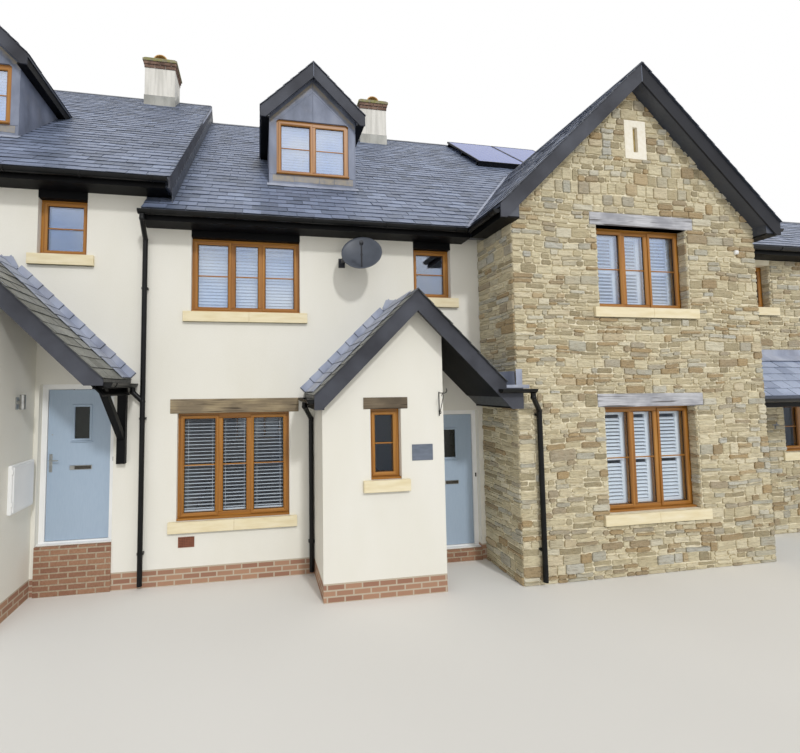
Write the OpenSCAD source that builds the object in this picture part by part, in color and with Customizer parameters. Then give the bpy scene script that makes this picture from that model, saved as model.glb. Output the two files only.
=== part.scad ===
// Terraced house row: two rendered houses, a stone gabled house and its lower side range.
// The ground floor stands on the lowest ground at z = 0; +X runs along the row to the right
// as seen from the street, +Y runs from the street to the back. Millimetres.

/* [Row] */
// Width of one rendered house, party line to party line
house_w = 5362; // [5000:1:6200]
// How much higher the left house stands than the others
ground_step = 451; // [0:1:600]
// Depth of the houses over their outer wall faces
house_depth = 9254; // [8000:1:11000]
// Thickness of the outer walls
wall_t = 300; // [250:1:360]
// Distance from the stone gable's right face to the right end of the main house
end_gap = 406; // [380:1:700]
// Thickness of the walls between the houses
party_t = 300; // [200:1:330]
// Width of the side range at the right end of the row
range_w = 4960; // [3600:1:6000]
// Depth of the side range
range_depth = 3260; // [3000:1:4200]

/* [Storeys] */
// Height of the ground floor over the lowest ground
ground_floor_z = 180; // [150:1:300]
// Height of the first floor over the lowest ground
first_floor_z = 2880; // [2800:1:3100]
// Height of the attic floor over the lowest ground
attic_floor_z = 5380; // [5300:1:5500]
// Thickness of the upper floors
floor_t = 250; // [150:1:300]
// Thickness of the ground floor slab
slab_t = 150; // [100:1:170]

/* [Main roof] */
// Pitch of the main roof in degrees
roof_pitch = 42; // [38:0.5:46]
// Height of the slates over the outer face of the front wall
roof_at_wall_z = 5389; // [5300:1:5500]
// Thickness of a roof, square to its slope
roof_t = 200; // [150:1:240]
// Gap between a sloping roof and what carries it or stands on it
seat = 0.1; // [0.05:0.05:0.5]
// Height of the underside of the boxed eaves
soffit_z = 4956; // [4900:1:5000]
// Reach of the boxed eaves in front of a wall
eaves_out = 274; // [200:1:350]
// Reach of the slates past the eaves board
slate_lip = 36; // [20:1:50]
// Thickness of the eaves boards and bargeboards
board_t = 22; // [15:1:35]
// Depth of the bargeboards at the ridge
barge_depth = 275; // [220:1:300]
// Reach of the left roof past the wall that it steps down from
verge_out = 44; // [20:1:80]
// Depth of the board that closes that step
verge_depth = 400; // [300:1:420]
// Reach of the main roof past the right end wall
end_verge = 260; // [100:1:300]
// Pitch of the side range's roof in degrees
range_pitch = 36; // [32:0.5:40]

/* [Stone gable] */
// Distance from the middle door's frame to the gable's left wall
gable_gap = 82; // [80:1:90]
// Left wall of the stone gable, thickness
stone_t = 360; // [300:1:420]
// Width of the stone gable over its outer faces
gable_w = 4169; // [3800:1:4600]
// Reach of the stone gable in front of the main wall
gable_out = 903; // [600:1:1200]
// Height of the stone gable's roof at its ridge
gable_ridge_z = 7412; // [7200:1:7700]
// Pitch of the stone gable, the dormers and their bargeboards in degrees
gable_pitch = 44; // [40:0.5:48]
// Reach of the gable's roof past its left wall
gable_left_out = 285; // [200:1:320]
// Reach of the gable's roof past its right wall
gable_right_out = 246; // [200:1:320]
// Reach of the gable's roof in front of its stone wall
gable_verge = 209; // [120:1:260]

/* [Three-light windows] */
// Left edge of the upper window
upper_win_x = 610; // [500:1:800]
// Width of the three-light windows
win_w = 1559; // [1300:1:1700]
// Sill height of the upper window
upper_win_z = 3774; // [3600:1:3900]
// Height of the upper window
upper_win_h = 1094; // [900:1:1150]
// Left edge of the lower window
lower_win_x = 446; // [400:1:600]
// Sill height of the lower window
lower_win_z = 850; // [800:1:1000]
// Height of the lower window
lower_win_h = 1480; // [1200:1:1500]

/* [Small windows] */
// Left edge of the small upper window
small_win_x = 3961; // [3900:1:4000]
// Sill height of the small upper window
small_win_z = 4066; // [3950:1:4150]
// Width of the small upper window
small_win_w = 621; // [500:1:700]
// Height of the small upper window
small_win_h = 795; // [700:1:850]
// Left edge of the porch window
porch_win_x = 2991; // [2900:1:3100]
// Sill height of the porch window
porch_win_z = 1480; // [1400:1:1600]
// Width of the porch window
porch_win_w = 413; // [300:1:450]
// Height of the porch window
porch_win_h = 911; // [800:1:950]

/* [Stone gable windows] */
// Left edge of the gable windows
gable_win_x = 6420; // [6300:1:6500]
// Width of the gable windows
gable_win_w = 1572; // [1400:1:1700]
// Sill height of the upper gable window
gable_upper_z = 3800; // [3700:1:3900]
// Height of the upper gable window
gable_upper_h = 1220; // [1100:1:1260]
// Sill height of the lower gable window
gable_lower_z = 860; // [800:1:950]
// Height of the lower gable window
gable_lower_h = 1500; // [1300:1:1530]
// Distance of the vent slit's middle from the ridge line
slit_shift = 40; // [-50:1:50]
// Width of the vent slit high in the gable
slit_w = 80; // [60:1:120]
// Height of the vent slit
slit_h = 390; // [300:1:450]
// Foot of the vent slit
slit_z = 6172; // [6100:1:6250]
// Width of the stone block round the vent slit
slit_block_w = 371; // [300:1:400]
// Height of the stone block round the vent slit
slit_block_h = 600; // [560:1:640]

/* [Side range] */
// Left edge of the side range's small upper window
range_small_x = 10300; // [10200:1:10400]
// Left edge of its wide upper window
range_upper_x = 12100; // [11500:1:12500]
// Left edge of its lower window
range_lower_x = 11000; // [10900:1:11100]
// Sill height of its lower window
range_lower_z = 1430; // [1350:1:1500]
// Height of its lower window
range_lower_h = 880; // [700:1:950]
// Left edge of its front door
range_door_x = 9660; // [9650:1:9700]

/* [Window units] */
// Depth of the reveal in front of a window frame
reveal = 90; // [60:1:120]
// Depth of the deeper reveals in the stone gable
stone_reveal = 135; // [120:1:200]
// Depth of a window frame, front to back
frame_d = 70; // [60:1:90]
// Face width of a window frame and its sashes
frame_w = 82; // [60:1:90]
// Width of the bars between the lights
mullion_w = 107; // [80:1:120]
// Width of the fixed middle light between two opening ones
middle_light_w = 329; // [280:1:360]
// Face width of an opening sash
sash_w = 46; // [36:1:48]
// How far an opening sash stands proud of its frame
sash_out = 14; // [8:1:18]
// Height of the thin glazing bar across each light
bar_h = 18; // [12:1:24]
// Depth of the glazing bar
bar_d = 9; // [6:1:12]
// Height of the board under a window frame
flange_h = 26; // [20:1:40]
// Reach of that board in front of the frame
flange_out = 70; // [40:1:80]
// Thickness of the sealed glass units
glass_t = 24; // [16:1:28]
// Reach of a sill past each side of its window
sill_ear = 106; // [60:1:130]
// Height of a stone sill
sill_h = 150; // [100:1:160]
// Reach of a sill in front of the wall
sill_out = 50; // [30:1:70]

/* [Front doors] */
// Left edge of the door frame
door_x = 4051; // [4020:1:4060]
// Width over the door frame
door_w = 932; // [880:1:960]
// Height over the door frame
door_h = 2119; // [2000:1:2150]
// Face width of the door frame
door_frame_w = 68; // [50:1:80]
// Thickness of a door leaf
leaf_t = 48; // [40:1:60]
// Running gap round a door leaf
leaf_gap = 5; // [5:1:8]
// Height of the door sill
threshold_h = 30; // [20:1:40]
// Left edge of the door's glass pane, from the frame's left edge
pane_x = 400; // [380:1:430]
// Width of the glass pane
pane_w = 187; // [150:1:220]
// Foot of the glass pane over the floor
pane_z = 1380; // [1300:1:1450]
// Height of the glass pane
pane_h = 431; // [400:1:480]
// Radius of a hinge knuckle
hinge_r = 6; // [5:0.5:7]
// Height of a hinge
hinge_h = 100; // [75:1:110]
// Running gap in a hinge
hinge_gap = 0.3; // [0.3:0.05:0.5]
// Reach of the brick doorstep in front of the wall
step_out = 20; // [10:1:60]

/* [Porch rooms] */
// Left face of the porch room
porch_x = 2359; // [2300:1:2400]
// Width of the porch room over its outer faces
porch_w = 1640; // [1560:1:1650]
// Reach of the porch room in front of the main wall
porch_out = 849; // [700:1:870]
// Thickness of the porch room's walls
porch_wall_t = 280; // [250:1:300]
// Distance from the party line to the porch roof's ridge
porch_ridge_x = 3597; // [3500:1:3650]
// Height of the porch roof's ridge
porch_ridge_z = 3938; // [3800:1:4000]
// Left edge of the porch roof, from its ridge
porch_left = 1364; // [1300:1:1400]
// Right edge of the middle porch roof over the door, from its ridge
porch_right = 1216; // [1150:1:1250]
// How much further the left porch roof reaches to the right
porch_extra = 377; // [330:1:390]
// Gap between the middle porch roof's lead gutter and the stone gable
trough_gap = 10; // [5:1:30]
// Height of the level underside of the porch eaves
porch_soffit_z = 2400; // [2350:1:2450]
// Height of the level underside at the stone gable
trough_soffit_z = 2368; // [2350:1:2400]
// Height of the level underside at the right of the left front door
canopy_soffit_z = 2271; // [2250:1:2300]
// Width of the timber bracket under the left porch roof
bracket_w = 110; // [90:1:120]
// Depth of the bracket's post and beam
bracket_d = 80; // [60:1:100]
// Foot of the bracket's post
bracket_foot_z = 1226; // [1150:1:1300]
// Height on the post where the bracket's brace starts
brace_z = 1540; // [1450:1:1600]
// Thickness of the porch roof, square to its slope
porch_roof_t = 135; // [110:1:150]
// Reach of the porch roof in front of the porch room
porch_verge = 200; // [120:1:260]

/* [Dormers] */
// Left face of the dormer
dormer_x = 1738; // [1700:1:1800]
// Width of the dormer over its cheeks
dormer_w = 1514; // [1450:1:1600]
// Distance of the dormer's face behind the front wall's face
dormer_y = 820; // [700:1:900]
// Height of the dormer's ridge
dormer_ridge_z = 8288; // [8200:1:8400]
// Half width of the dormer's roof
dormer_half = 907; // [880:1:960]
// Depth of the dormer's bargeboards at the ridge
dormer_barge = 262; // [200:1:280]
// Reach of the dormer's roof in front of its face
dormer_verge = 140; // [100:1:200]
// Thickness of the dormer's cheeks and face
cheek_t = 120; // [90:1:130]
// Height of the level underside of the dormer eaves
dormer_soffit_z = 7240; // [7200:1:7300]
// Thickness of the dormer's roof
dormer_roof_t = 110; // [90:1:130]
// Width of the dormer's window
dormer_win_w = 1263; // [1100:1:1270]
// Height of the dormer's window
dormer_win_h = 976; // [900:1:1000]
// Foot of the dormer's window
dormer_win_z = 6325; // [6300:1:6400]

/* [Chimneys] */
// Left face of the chimney
chimney_x = 4207; // [4100:1:4300]
// Width of the chimney
chimney_w = 703; // [600:1:800]
// Front face of the chimney
chimney_y = 4090; // [4000:1:4200]
// Depth of the chimney
chimney_d = 600; // [500:1:800]
// Top of the chimney's slab
chimney_top_z = 10240; // [10000:1:10500]
// Height of the chimney's slab
slab_h = 70; // [50:1:100]
// Height of each of the two brick courses under the slab
course_h = 80; // [60:1:90]
// How far each course stands out past the one below
course_out = 16; // [10:1:25]
// Radius of the half-round cowl on the chimney
cowl_r = 120; // [100:1:140]
// Thickness of the cowl
cowl_t = 18; // [12:1:25]

/* [Canopy of the side range] */
// Height of the canopy's slates at the wall
lean_top_z = 3180; // [3000:1:3250]
// Height of the canopy's slates at its front edge
lean_low_z = 2470; // [2400:1:2700]
// Reach of the canopy in front of the wall
lean_out = 800; // [500:1:860]
// Thickness of the canopy's roof, square to its slope
lean_t = 110; // [80:1:140]

/* [Rainwater goods] */
// Radius of the half-round gutters
gutter_r = 56; // [50:1:65]
// Wall of the gutters
gutter_t = 4; // [3:1:6]
// Radius of the downpipes
pipe_r = 34; // [30:1:40]
// Gap between a downpipe and its wall
pipe_gap = 30; // [20:1:60]
// Gap between a gutter's rim and the slates over it
gutter_drop = 8; // [4:1:20]

/* [Roof fittings] */
// Width of one solar panel
panel_w = 1320; // [1000:1:1700]
// Length of one solar panel up the slope
panel_l = 2180; // [1500:1:2200]
// Thickness of a solar panel
panel_t = 40; // [30:1:60]
// Height of the rails between the slates and the panels
panel_rail = 90; // [60:1:110]
// Left edge of the solar panels
panel_x = 6800; // [6600:1:7000]
// Front edge of the solar panels
panel_y = 2880; // [2700:1:2950]
// Radius of the satellite dish
dish_r = 290; // [250:1:350]
// How deep the dish is
dish_deep = 50; // [40:1:70]
// Angle that the dish faces upwards, in degrees
dish_tilt = 24; // [20:1:30]
// Angle that the dish faces to the left, in degrees
dish_turn = 15; // [0:1:40]
// Distance of the dish's middle from the wall
dish_out = 330; // [300:1:450]
// Distance from the party line to the middle of the dish
dish_x = 3041; // [2950:1:3100]
// Height of the middle of the dish
dish_z = 4600; // [4500:1:4650]

/* [Hidden] */
$fn = 32;

// Points and slopes that the driving sizes give
ridge_y = house_depth / 2;
slope = tan(roof_pitch);
roof_vt = roof_t / cos(roof_pitch);
ridge_z = roof_at_wall_z + slope * ridge_y;
gable_slope = tan(gable_pitch);
gable_vt = roof_t / cos(gable_pitch);
range_slope = tan(range_pitch);
range_vt = roof_t / cos(range_pitch);
eaves_tip = eaves_out + slate_lip;
range_at_wall_z = roof_at_wall_z - (slope - range_slope) * eaves_tip;
wing_x = door_x + door_w + gable_gap;
wing_right = wing_x + gable_w;
gable_half = (gable_w + gable_left_out + gable_right_out) / 2;
wing_ridge_x = wing_x - gable_left_out + gable_half;
main_end_x = wing_right + end_gap;
roof_end_x = main_end_x + end_verge;
range_right = main_end_x + range_w;
row_left = -house_w;
front_most = -gable_out - gable_verge;
rear_most = house_depth + eaves_out + board_t + 2 * gutter_r;
x_mid = (row_left + range_right) / 2;
front_edge = min(front_most, -porch_out - porch_verge - 2 * gutter_r);
y_mid = (front_edge + rear_most) / 2;
porch_right_x = porch_x + porch_w;
porch_slope = tan(45);
porch_vt = porch_roof_t / cos(45);
porch_front = -porch_out - porch_verge + board_t;
trough_z = porch_ridge_z - porch_slope * porch_right - 2 * slate_lip;
trough_right = wing_x - trough_gap;
dormer_mid = dormer_x + dormer_w / 2;
dormer_vt = dormer_roof_t / cos(gable_pitch);
dormer_front = dormer_y - dormer_verge + board_t;
upper_wall_z = first_floor_z - floor_t;
door_top_z = ground_floor_z + door_h;
slit_x = wing_ridge_x + slit_shift - slit_w / 2;
slit_block_x = wing_ridge_x + slit_shift - slit_block_w / 2;
slit_block_z = slit_z + (slit_h - slit_block_h) / 2;
far = 40000;

// Puts the middle of the row's outline over the origin
module place() {
    translate([-x_mid, -y_mid, 0])
        children();
}

// The two rendered houses are alike: 0 is the middle one, 1 the left one
module at_house(k) {
    translate([-k * house_w, 0, k * ground_step])
        children();
}

function foot(k) = -k * ground_step;

// A profile drawn as [y, z] points, run along X
module run_x(x0, x1, points) {
    translate([x0, 0, 0])
        rotate([90, 0, 90])
            linear_extrude(x1 - x0)
                polygon(points);
}

// A profile drawn as [x, z] points, run along Y
module run_y(y0, y1, points) {
    translate([0, y1, 0])
        rotate([90, 0, 0])
            linear_extrude(y1 - y0)
                polygon(points);
}

// A box from its low corner to its high corner
module box(low, high) {
    translate(low)
        cube(high - low);
}

// Height of the main slates over a distance behind the front wall
function roof_z(y) = roof_at_wall_z + slope * min(y, house_depth - y);

// A wall under the main roof, seen from its end: its top follows the rafters
function wall_profile(y0, y1, foot_z) = [
    [y0, foot_z], [y1, foot_z], [y1, roof_z(y1) - roof_vt - seat],
    [y0, roof_z(y0) - roof_vt - seat]];

// A whole cross wall under the main roof
function cross_profile(foot_z) = [
    [0, foot_z], [house_depth, foot_z], [house_depth, roof_z(0) - roof_vt - seat],
    [ridge_y, ridge_z - roof_vt - seat], [0, roof_z(0) - roof_vt - seat]];

// A double-pitched roof with boxed eaves, from its low left tip to its low right tip
function boxed_roof(left_tip, left_wall, ridge, right_wall, right_tip, top_z, s, vt, box_z) = [
    [left_tip, top_z - s * (ridge - left_tip)],
    [left_tip, top_z - s * (ridge - left_tip) - slate_lip],
    [left_tip + slate_lip, top_z - s * (ridge - left_tip) - slate_lip],
    [left_tip + slate_lip, box_z + board_t],
    [left_wall, box_z + board_t],
    [left_wall, top_z - s * (ridge - left_wall) - vt],
    [ridge, top_z - vt],
    [right_wall, top_z - s * (right_wall - ridge) - vt],
    [right_wall, box_z + board_t],
    [right_tip - slate_lip, box_z + board_t],
    [right_tip - slate_lip, top_z - s * (right_tip - ridge) - slate_lip],
    [right_tip, top_z - s * (right_tip - ridge) - slate_lip],
    [right_tip, top_z - s * (right_tip - ridge)],
    [ridge, top_z]];

module main_roof_slab(x0, x1) {
    run_x(x0, x1, boxed_roof(-eaves_tip, 0, ridge_y, house_depth, house_depth + eaves_tip,
        ridge_z, slope, roof_vt, soffit_z));
}

// Everything above the main slates, or above their underside
module over_main_roof(x0, x1, drop) {
    run_x(x0, x1, [[-far, roof_z(-far) - drop], [ridge_y, ridge_z - drop], [ridge_y, far],
        [-far, far]]);
}

// Windows: the opening, the frame with its lights and the panes
module win_hole(x, z, w, h, y0, y1) {
    box([x, y0, z], [x + w, y1, z + h]);
}

// Width of a light, counted from 0: of three lights the middle one is narrower
function light_w(w, n, i) = n < 3 ? (w - 2 * frame_w - (n - 1) * mullion_w) / n
    : i == 1 ? middle_light_w : (w - 2 * frame_w - 2 * mullion_w - middle_light_w) / 2;

// Left edge of that light
function light_x(x, w, n, i) = i == 0 ? x + frame_w
    : light_x(x, w, n, i - 1) + light_w(w, n, i - 1) + mullion_w;

module win_lights(x, z, w, h, n, y0, y1) {
    for (i = [0 : n - 1])
        box([light_x(x, w, n, i), y0, z + frame_w],
            [light_x(x, w, n, i) + light_w(w, n, i), y1, z + h - frame_w]);
}

// The frame with its sill board, its opening sashes and a thin bar across each light
module win_frame(x, z, w, h, n, y) {
    glass_y = y + (frame_d - glass_t) / 2;
    mid_z = z + h / 2;
    difference() {
        union() {
            box([x, y, z], [x + w, y + frame_d, z + h]);
            box([x, y - flange_out, z], [x + w, y, z + flange_h]);
            for (i = [0 : 2 : n - 1])
                box([light_x(x, w, n, i) - sash_w, y - sash_out, z + frame_w - sash_w],
                    [light_x(x, w, n, i) + light_w(w, n, i) + sash_w, y,
                     z + h - frame_w + sash_w]);
        }
        win_lights(x, z, w, h, n, y - far, y + frame_d + 1);
    }
    for (i = [0 : n - 1])
        box([light_x(x, w, n, i), glass_y - bar_d, mid_z - bar_h / 2],
            [light_x(x, w, n, i) + light_w(w, n, i), glass_y, mid_z + bar_h / 2]);
}

module win_glass(x, z, w, h, n, y) {
    win_lights(x, z, w, h, n, y + (frame_d - glass_t) / 2, y + (frame_d + glass_t) / 2);
}

// Draws with kind "hole", "frame" or "glass" one window of a front at face
module window(kind, x, z, w, h, n, face, depth, wall) {
    if (kind == "hole")
        win_hole(x, z, w, h, face - 1, face + wall + 1);
    if (kind == "frame")
        win_frame(x, z, w, h, n, face + depth);
    if (kind == "glass")
        win_glass(x, z, w, h, n, face + depth);
}

// The windows of one rendered house, storey by storey
module lower_window(kind) {
    window(kind, lower_win_x, lower_win_z, win_w, lower_win_h, 3, 0, reveal, wall_t);
}

module upper_windows(kind) {
    window(kind, upper_win_x, upper_win_z, win_w, upper_win_h, 3, 0, reveal, wall_t);
    window(kind, small_win_x, small_win_z, small_win_w, small_win_h, 1, 0, reveal, wall_t);
}

module porch_window(kind) {
    window(kind, porch_win_x, porch_win_z, porch_win_w, porch_win_h, 1, -porch_out, reveal,
        porch_wall_t);
}

module dormer_window(kind) {
    window(kind, dormer_mid - dormer_win_w / 2, dormer_win_z, dormer_win_w, dormer_win_h, 2,
        dormer_y, (cheek_t - frame_d) / 2, cheek_t);
}

module wing_windows(kind) {
    window(kind, gable_win_x, gable_upper_z, gable_win_w, gable_upper_h, 3, -gable_out,
        stone_reveal, stone_t);
    window(kind, gable_win_x, gable_lower_z, gable_win_w, gable_lower_h, 3, -gable_out,
        stone_reveal, stone_t);
}

module range_windows(kind) {
    window(kind, range_small_x, small_win_z, small_win_w, small_win_h, 1, 0, stone_reveal,
        wall_t);
    window(kind, range_lower_x, range_lower_z, win_w, range_lower_h, 3, 0, stone_reveal,
        wall_t);
    window(kind, range_upper_x, upper_win_z, win_w, upper_win_h, 3, 0, stone_reveal, wall_t);
}

// The back of the row repeats the storeys: a wide window and a door below, two windows above
rear_win_x = 500;
rear_door_end = 3832;
rear_small_x = 3050;

module rear_bay(kind, x, lift) {
    translate([x, house_depth, lift])
        mirror([0, 1, 0]) {
            window(kind, rear_win_x, lower_win_z, win_w, lower_win_h, 3, 0, reveal, wall_t);
            window(kind, rear_win_x, upper_win_z, win_w, upper_win_h, 3, 0, reveal, wall_t);
            window(kind, rear_small_x, small_win_z, small_win_w, small_win_h, 1, 0, reveal, wall_t);
        }
}

module rear_windows(kind) {
    rear_bay(kind, row_left + party_t, ground_step);
    rear_bay(kind, party_t, 0);
    rear_bay(kind, wing_x + stone_t, 0);
}

// A door opening, from the floor up
module door_hole(x, y0, y1) {
    box([x, y0, ground_floor_z], [x + door_w, y1, door_top_z]);
}

module rear_doors_at(x, lift) {
    translate([x + rear_door_end - door_w, house_depth, lift])
        mirror([0, 1, 0])
            children();
}

module each_rear_door() {
    rear_doors_at(row_left + party_t, ground_step)
        children();
    rear_doors_at(party_t, 0)
        children();
    rear_doors_at(wing_x + stone_t, 0)
        children();
}

// Cross walls between the houses
module party_walls() {
    color("gainsboro")
        place() {
            at_house(1)
                run_x(house_w, house_w + party_t, cross_profile(foot(1)));
            run_x(wing_x, wing_x + stone_t, cross_profile(0));
        }
}

function range_z(y) = range_at_wall_z + range_slope * min(y, range_depth - y);

module end_walls() {
    color("gainsboro")
        place() {
            at_house(1)
                run_x(0, party_t, cross_profile(foot(1)));
            run_x(main_end_x - party_t, main_end_x, cross_profile(0));
            run_x(range_right - party_t, range_right, [
                [0, 0], [range_depth, 0], [range_depth, range_z(0) - range_vt - seat],
                [range_depth / 2, range_z(range_depth / 2) - range_vt - seat],
                [0, range_z(0) - range_vt - seat]]);
        }
}

// Rendered front walls, below and above the first floor
module ground_wall(k) {
    right_end = k == 0 ? wing_x : house_w;
    difference() {
        union() {
            box([party_t, 0, foot(k)], [porch_x + porch_wall_t, wall_t, upper_wall_z]);
            box([porch_right_x - porch_wall_t, 0, foot(k)], [door_x, wall_t, upper_wall_z]);
            box([door_x + door_w, 0, foot(k)], [right_end, wall_t, upper_wall_z]);
        }
        lower_window("hole");
    }
}

module upper_wall(k) {
    right_end = k == 0 ? wing_x : house_w;
    difference() {
        run_x(party_t, right_end, wall_profile(0, wall_t, upper_wall_z));
        upper_windows("hole");
    }
}

module left_ground_wall() {
    color("ivory")
        place()
            at_house(1)
                ground_wall(1);
}

module left_upper_wall() {
    color("ivory")
        place()
            at_house(1)
                upper_wall(1);
}

module middle_ground_wall() {
    color("ivory")
        place()
            ground_wall(0);
}

module middle_upper_wall() {
    color("ivory")
        place()
            upper_wall(0);
}

module door_head_walls() {
    color("ivory")
        place()
            for (k = [0, 1])
                at_house(k)
                    box([door_x, 0, door_top_z], [door_x + door_w, wall_t, upper_wall_z]);
}

// Height of the stone gable's slates at a place along the row
function wing_z(x) = gable_ridge_z - gable_slope * abs(x - wing_ridge_x);
function under_wing_z(x) = wing_z(x) - gable_vt - seat;

module wing_front_wall() {
    color("tan")
        place()
            difference() {
                run_y(-gable_out, -gable_out + stone_t, [
                    [wing_x, 0], [wing_right, 0], [wing_right, under_wing_z(wing_right)],
                    [wing_ridge_x, under_wing_z(wing_ridge_x)],
                    [wing_x, under_wing_z(wing_x)]]);
                wing_windows("hole");
                box([slit_block_x, -gable_out - 1, slit_block_z],
                    [slit_block_x + slit_block_w, -gable_out + stone_t + 1,
                     slit_block_z + slit_block_h]);
            }
}

module wing_side_walls() {
    color("tan")
        place() {
            run_y(-gable_out + stone_t, 0, [
                [wing_x, 0], [wing_x + stone_t, 0],
                [wing_x + stone_t, under_wing_z(wing_x + stone_t)],
                [wing_x, under_wing_z(wing_x)]]);
            run_y(-gable_out + stone_t, 0, [
                [wing_right - stone_t, 0], [wing_right, 0],
                [wing_right, under_wing_z(wing_right)],
                [wing_right - stone_t, under_wing_z(wing_right - stone_t)]]);
        }
}

module range_front_wall() {
    color("tan")
        place()
            difference() {
                union() {
                    run_x(wing_right - stone_t, main_end_x - party_t,
                        wall_profile(0, wall_t, 0));
                    run_x(main_end_x, roof_end_x, wall_profile(0, wall_t, 0));
                    run_x(roof_end_x, range_right - party_t, [
                        [0, 0], [wall_t, 0], [wall_t, range_z(wall_t) - range_vt - seat],
                        [0, range_z(0) - range_vt - seat]]);
                }
                range_windows("hole");
                door_hole(range_door_x, -1, wall_t + 1);
            }
}

module rear_walls() {
    color("ivory")
        place()
            difference() {
                union() {
                    at_house(1)
                        run_x(party_t, house_w,
                            wall_profile(house_depth - wall_t, house_depth, foot(1)));
                    run_x(party_t, wing_x,
                        wall_profile(house_depth - wall_t, house_depth, 0));
                    run_x(wing_x + stone_t, main_end_x - party_t,
                        wall_profile(house_depth - wall_t, house_depth, 0));
                    run_x(main_end_x, range_right - party_t, [
                        [range_depth - wall_t, 0], [range_depth, 0],
                        [range_depth, range_z(0) - range_vt - seat],
                        [range_depth - wall_t, range_z(wall_t) - range_vt - seat]]);
                }
                rear_windows("hole");
                each_rear_door()
                    door_hole(0, -1, wall_t + 1);
            }
}

// Floors run from wall to wall
module floor_plates(top_z, t) {
    at_house(1)
        box([party_t, wall_t, top_z - t], [house_w, house_depth - wall_t, top_z]);
    box([party_t, wall_t, top_z - t], [wing_x, house_depth - wall_t, top_z]);
    box([wing_x + stone_t, wall_t, top_z - t],
        [main_end_x - party_t, house_depth - wall_t, top_z]);
}

module ground_floors() {
    color("silver")
        place() {
            floor_plates(ground_floor_z, slab_t);
            for (k = [0, 1])
                at_house(k)
                    box([porch_x + porch_wall_t, -porch_out + porch_wall_t,
                         ground_floor_z - slab_t],
                        [porch_right_x - porch_wall_t, wall_t - seat, ground_floor_z]);
            box([wing_x + stone_t, -gable_out + stone_t, ground_floor_z - slab_t],
                [wing_right - stone_t, wall_t - seat, ground_floor_z]);
            box([main_end_x, wall_t, ground_floor_z - slab_t],
                [range_right - party_t, range_depth - wall_t, ground_floor_z]);
        }
}

module first_floors() {
    color("burlywood")
        place() {
            floor_plates(first_floor_z, floor_t);
            box([wing_x + stone_t, -gable_out + stone_t, first_floor_z - floor_t],
                [wing_right - stone_t, wall_t, first_floor_z]);
            box([main_end_x, wall_t, first_floor_z - floor_t],
                [range_right - party_t, range_depth - wall_t, first_floor_z]);
        }
}

module attic_floors() {
    color("burlywood")
        place() {
            floor_plates(attic_floor_z, floor_t);
            box([wing_x + stone_t, -gable_out + stone_t, attic_floor_z - floor_t],
                [wing_right - stone_t, wall_t, attic_floor_z]);
        }
}

// Roofs
dormer_ceiling_z = dormer_ridge_z - dormer_vt;

module dormer_void(rise) {
    low_z = dormer_ceiling_z - gable_slope * (dormer_w / 2 - cheek_t) + rise;
    run_y(dormer_y + cheek_t, ridge_y, [
        [dormer_x + cheek_t, 0], [dormer_x + dormer_w - cheek_t, 0],
        [dormer_x + dormer_w - cheek_t, low_z], [dormer_mid, dormer_ceiling_z + rise],
        [dormer_x + cheek_t, low_z]]);
}

module left_roof() {
    color("slategray")
        place()
            at_house(1)
                difference() {
                    main_roof_slab(0, house_w + party_t + verge_out);
                    dormer_void(0);
                }
}

module under_wing_slates(y0) {
    run_y(y0, ridge_y, [
        [wing_ridge_x - gable_half, 0], [wing_ridge_x + gable_half, 0],
        [wing_ridge_x + gable_half, wing_z(wing_ridge_x + gable_half)],
        [wing_ridge_x, gable_ridge_z],
        [wing_ridge_x - gable_half, wing_z(wing_ridge_x - gable_half)]]);
}

module middle_roof() {
    color("slategray")
        place()
            difference() {
                union() {
                    main_roof_slab(party_t, roof_end_x);
                    intersection() {
                        main_roof_slab(0, party_t);
                        union() {
                            box([-1, -far, 0], [party_t + 1, 0, far]);
                            box([-1, house_depth, 0], [party_t + 1, far, far]);
                        }
                    }
                }
                dormer_void(0);
                under_wing_slates(-far);
            }
}

module wing_roof() {
    color("slategray")
        place()
            intersection() {
                run_y(front_most + board_t, ridge_y,
                    boxed_roof(wing_ridge_x - gable_half, wing_x, wing_ridge_x, wing_right,
                        wing_ridge_x + gable_half, gable_ridge_z, gable_slope, gable_vt,
                        soffit_z));
                over_main_roof(0, far, roof_vt - seat);
            }
}

module range_roof() {
    color("slategray")
        place()
            difference() {
                run_x(main_end_x, range_right,
                    boxed_roof(-eaves_tip, 0, range_depth / 2, range_depth,
                        range_depth + eaves_tip, range_z(range_depth / 2), range_slope,
                        range_vt, soffit_z));
                over_main_roof(main_end_x - 1, roof_end_x, roof_vt + seat);
                box([main_end_x - 1, -far, 0], [roof_end_x, wall_t, far]);
            }
}

lean_slope = (lean_top_z - lean_low_z) / lean_out;
lean_vt = lean_t * sqrt(1 + lean_slope * lean_slope);

module canopy_roof() {
    color("slategray")
        place()
            run_x(wing_right, range_right, [
                [-lean_out, lean_low_z], [0, lean_top_z], [0, lean_top_z - lean_vt],
                [-lean_out, lean_low_z - lean_vt]]);
}

// Boxed eaves: the soffit board and the upright board that closes it
module eaves_run(x0, x1, top_z) {
    box([x0, -eaves_out, soffit_z], [x1, 0, soffit_z + board_t]);
    box([x0, -eaves_out - board_t, soffit_z], [x1, -eaves_out, top_z]);
}

eaves_top_z = roof_z(-eaves_tip) - slate_lip - seat;

// Eaves boards that run back along the sides of a gable: level board and upright board
module side_eaves(tip, wall, y0, y1, box_z, top_z) {
    out = tip < wall ? 1 : -1;
    inner = tip + out * slate_lip;
    box([min(inner, wall), y0, box_z], [max(inner, wall), y1, box_z + board_t]);
    box([min(inner, inner - out * board_t), y0, box_z],
        [max(inner, inner - out * board_t), y1, top_z]);
}

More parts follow.
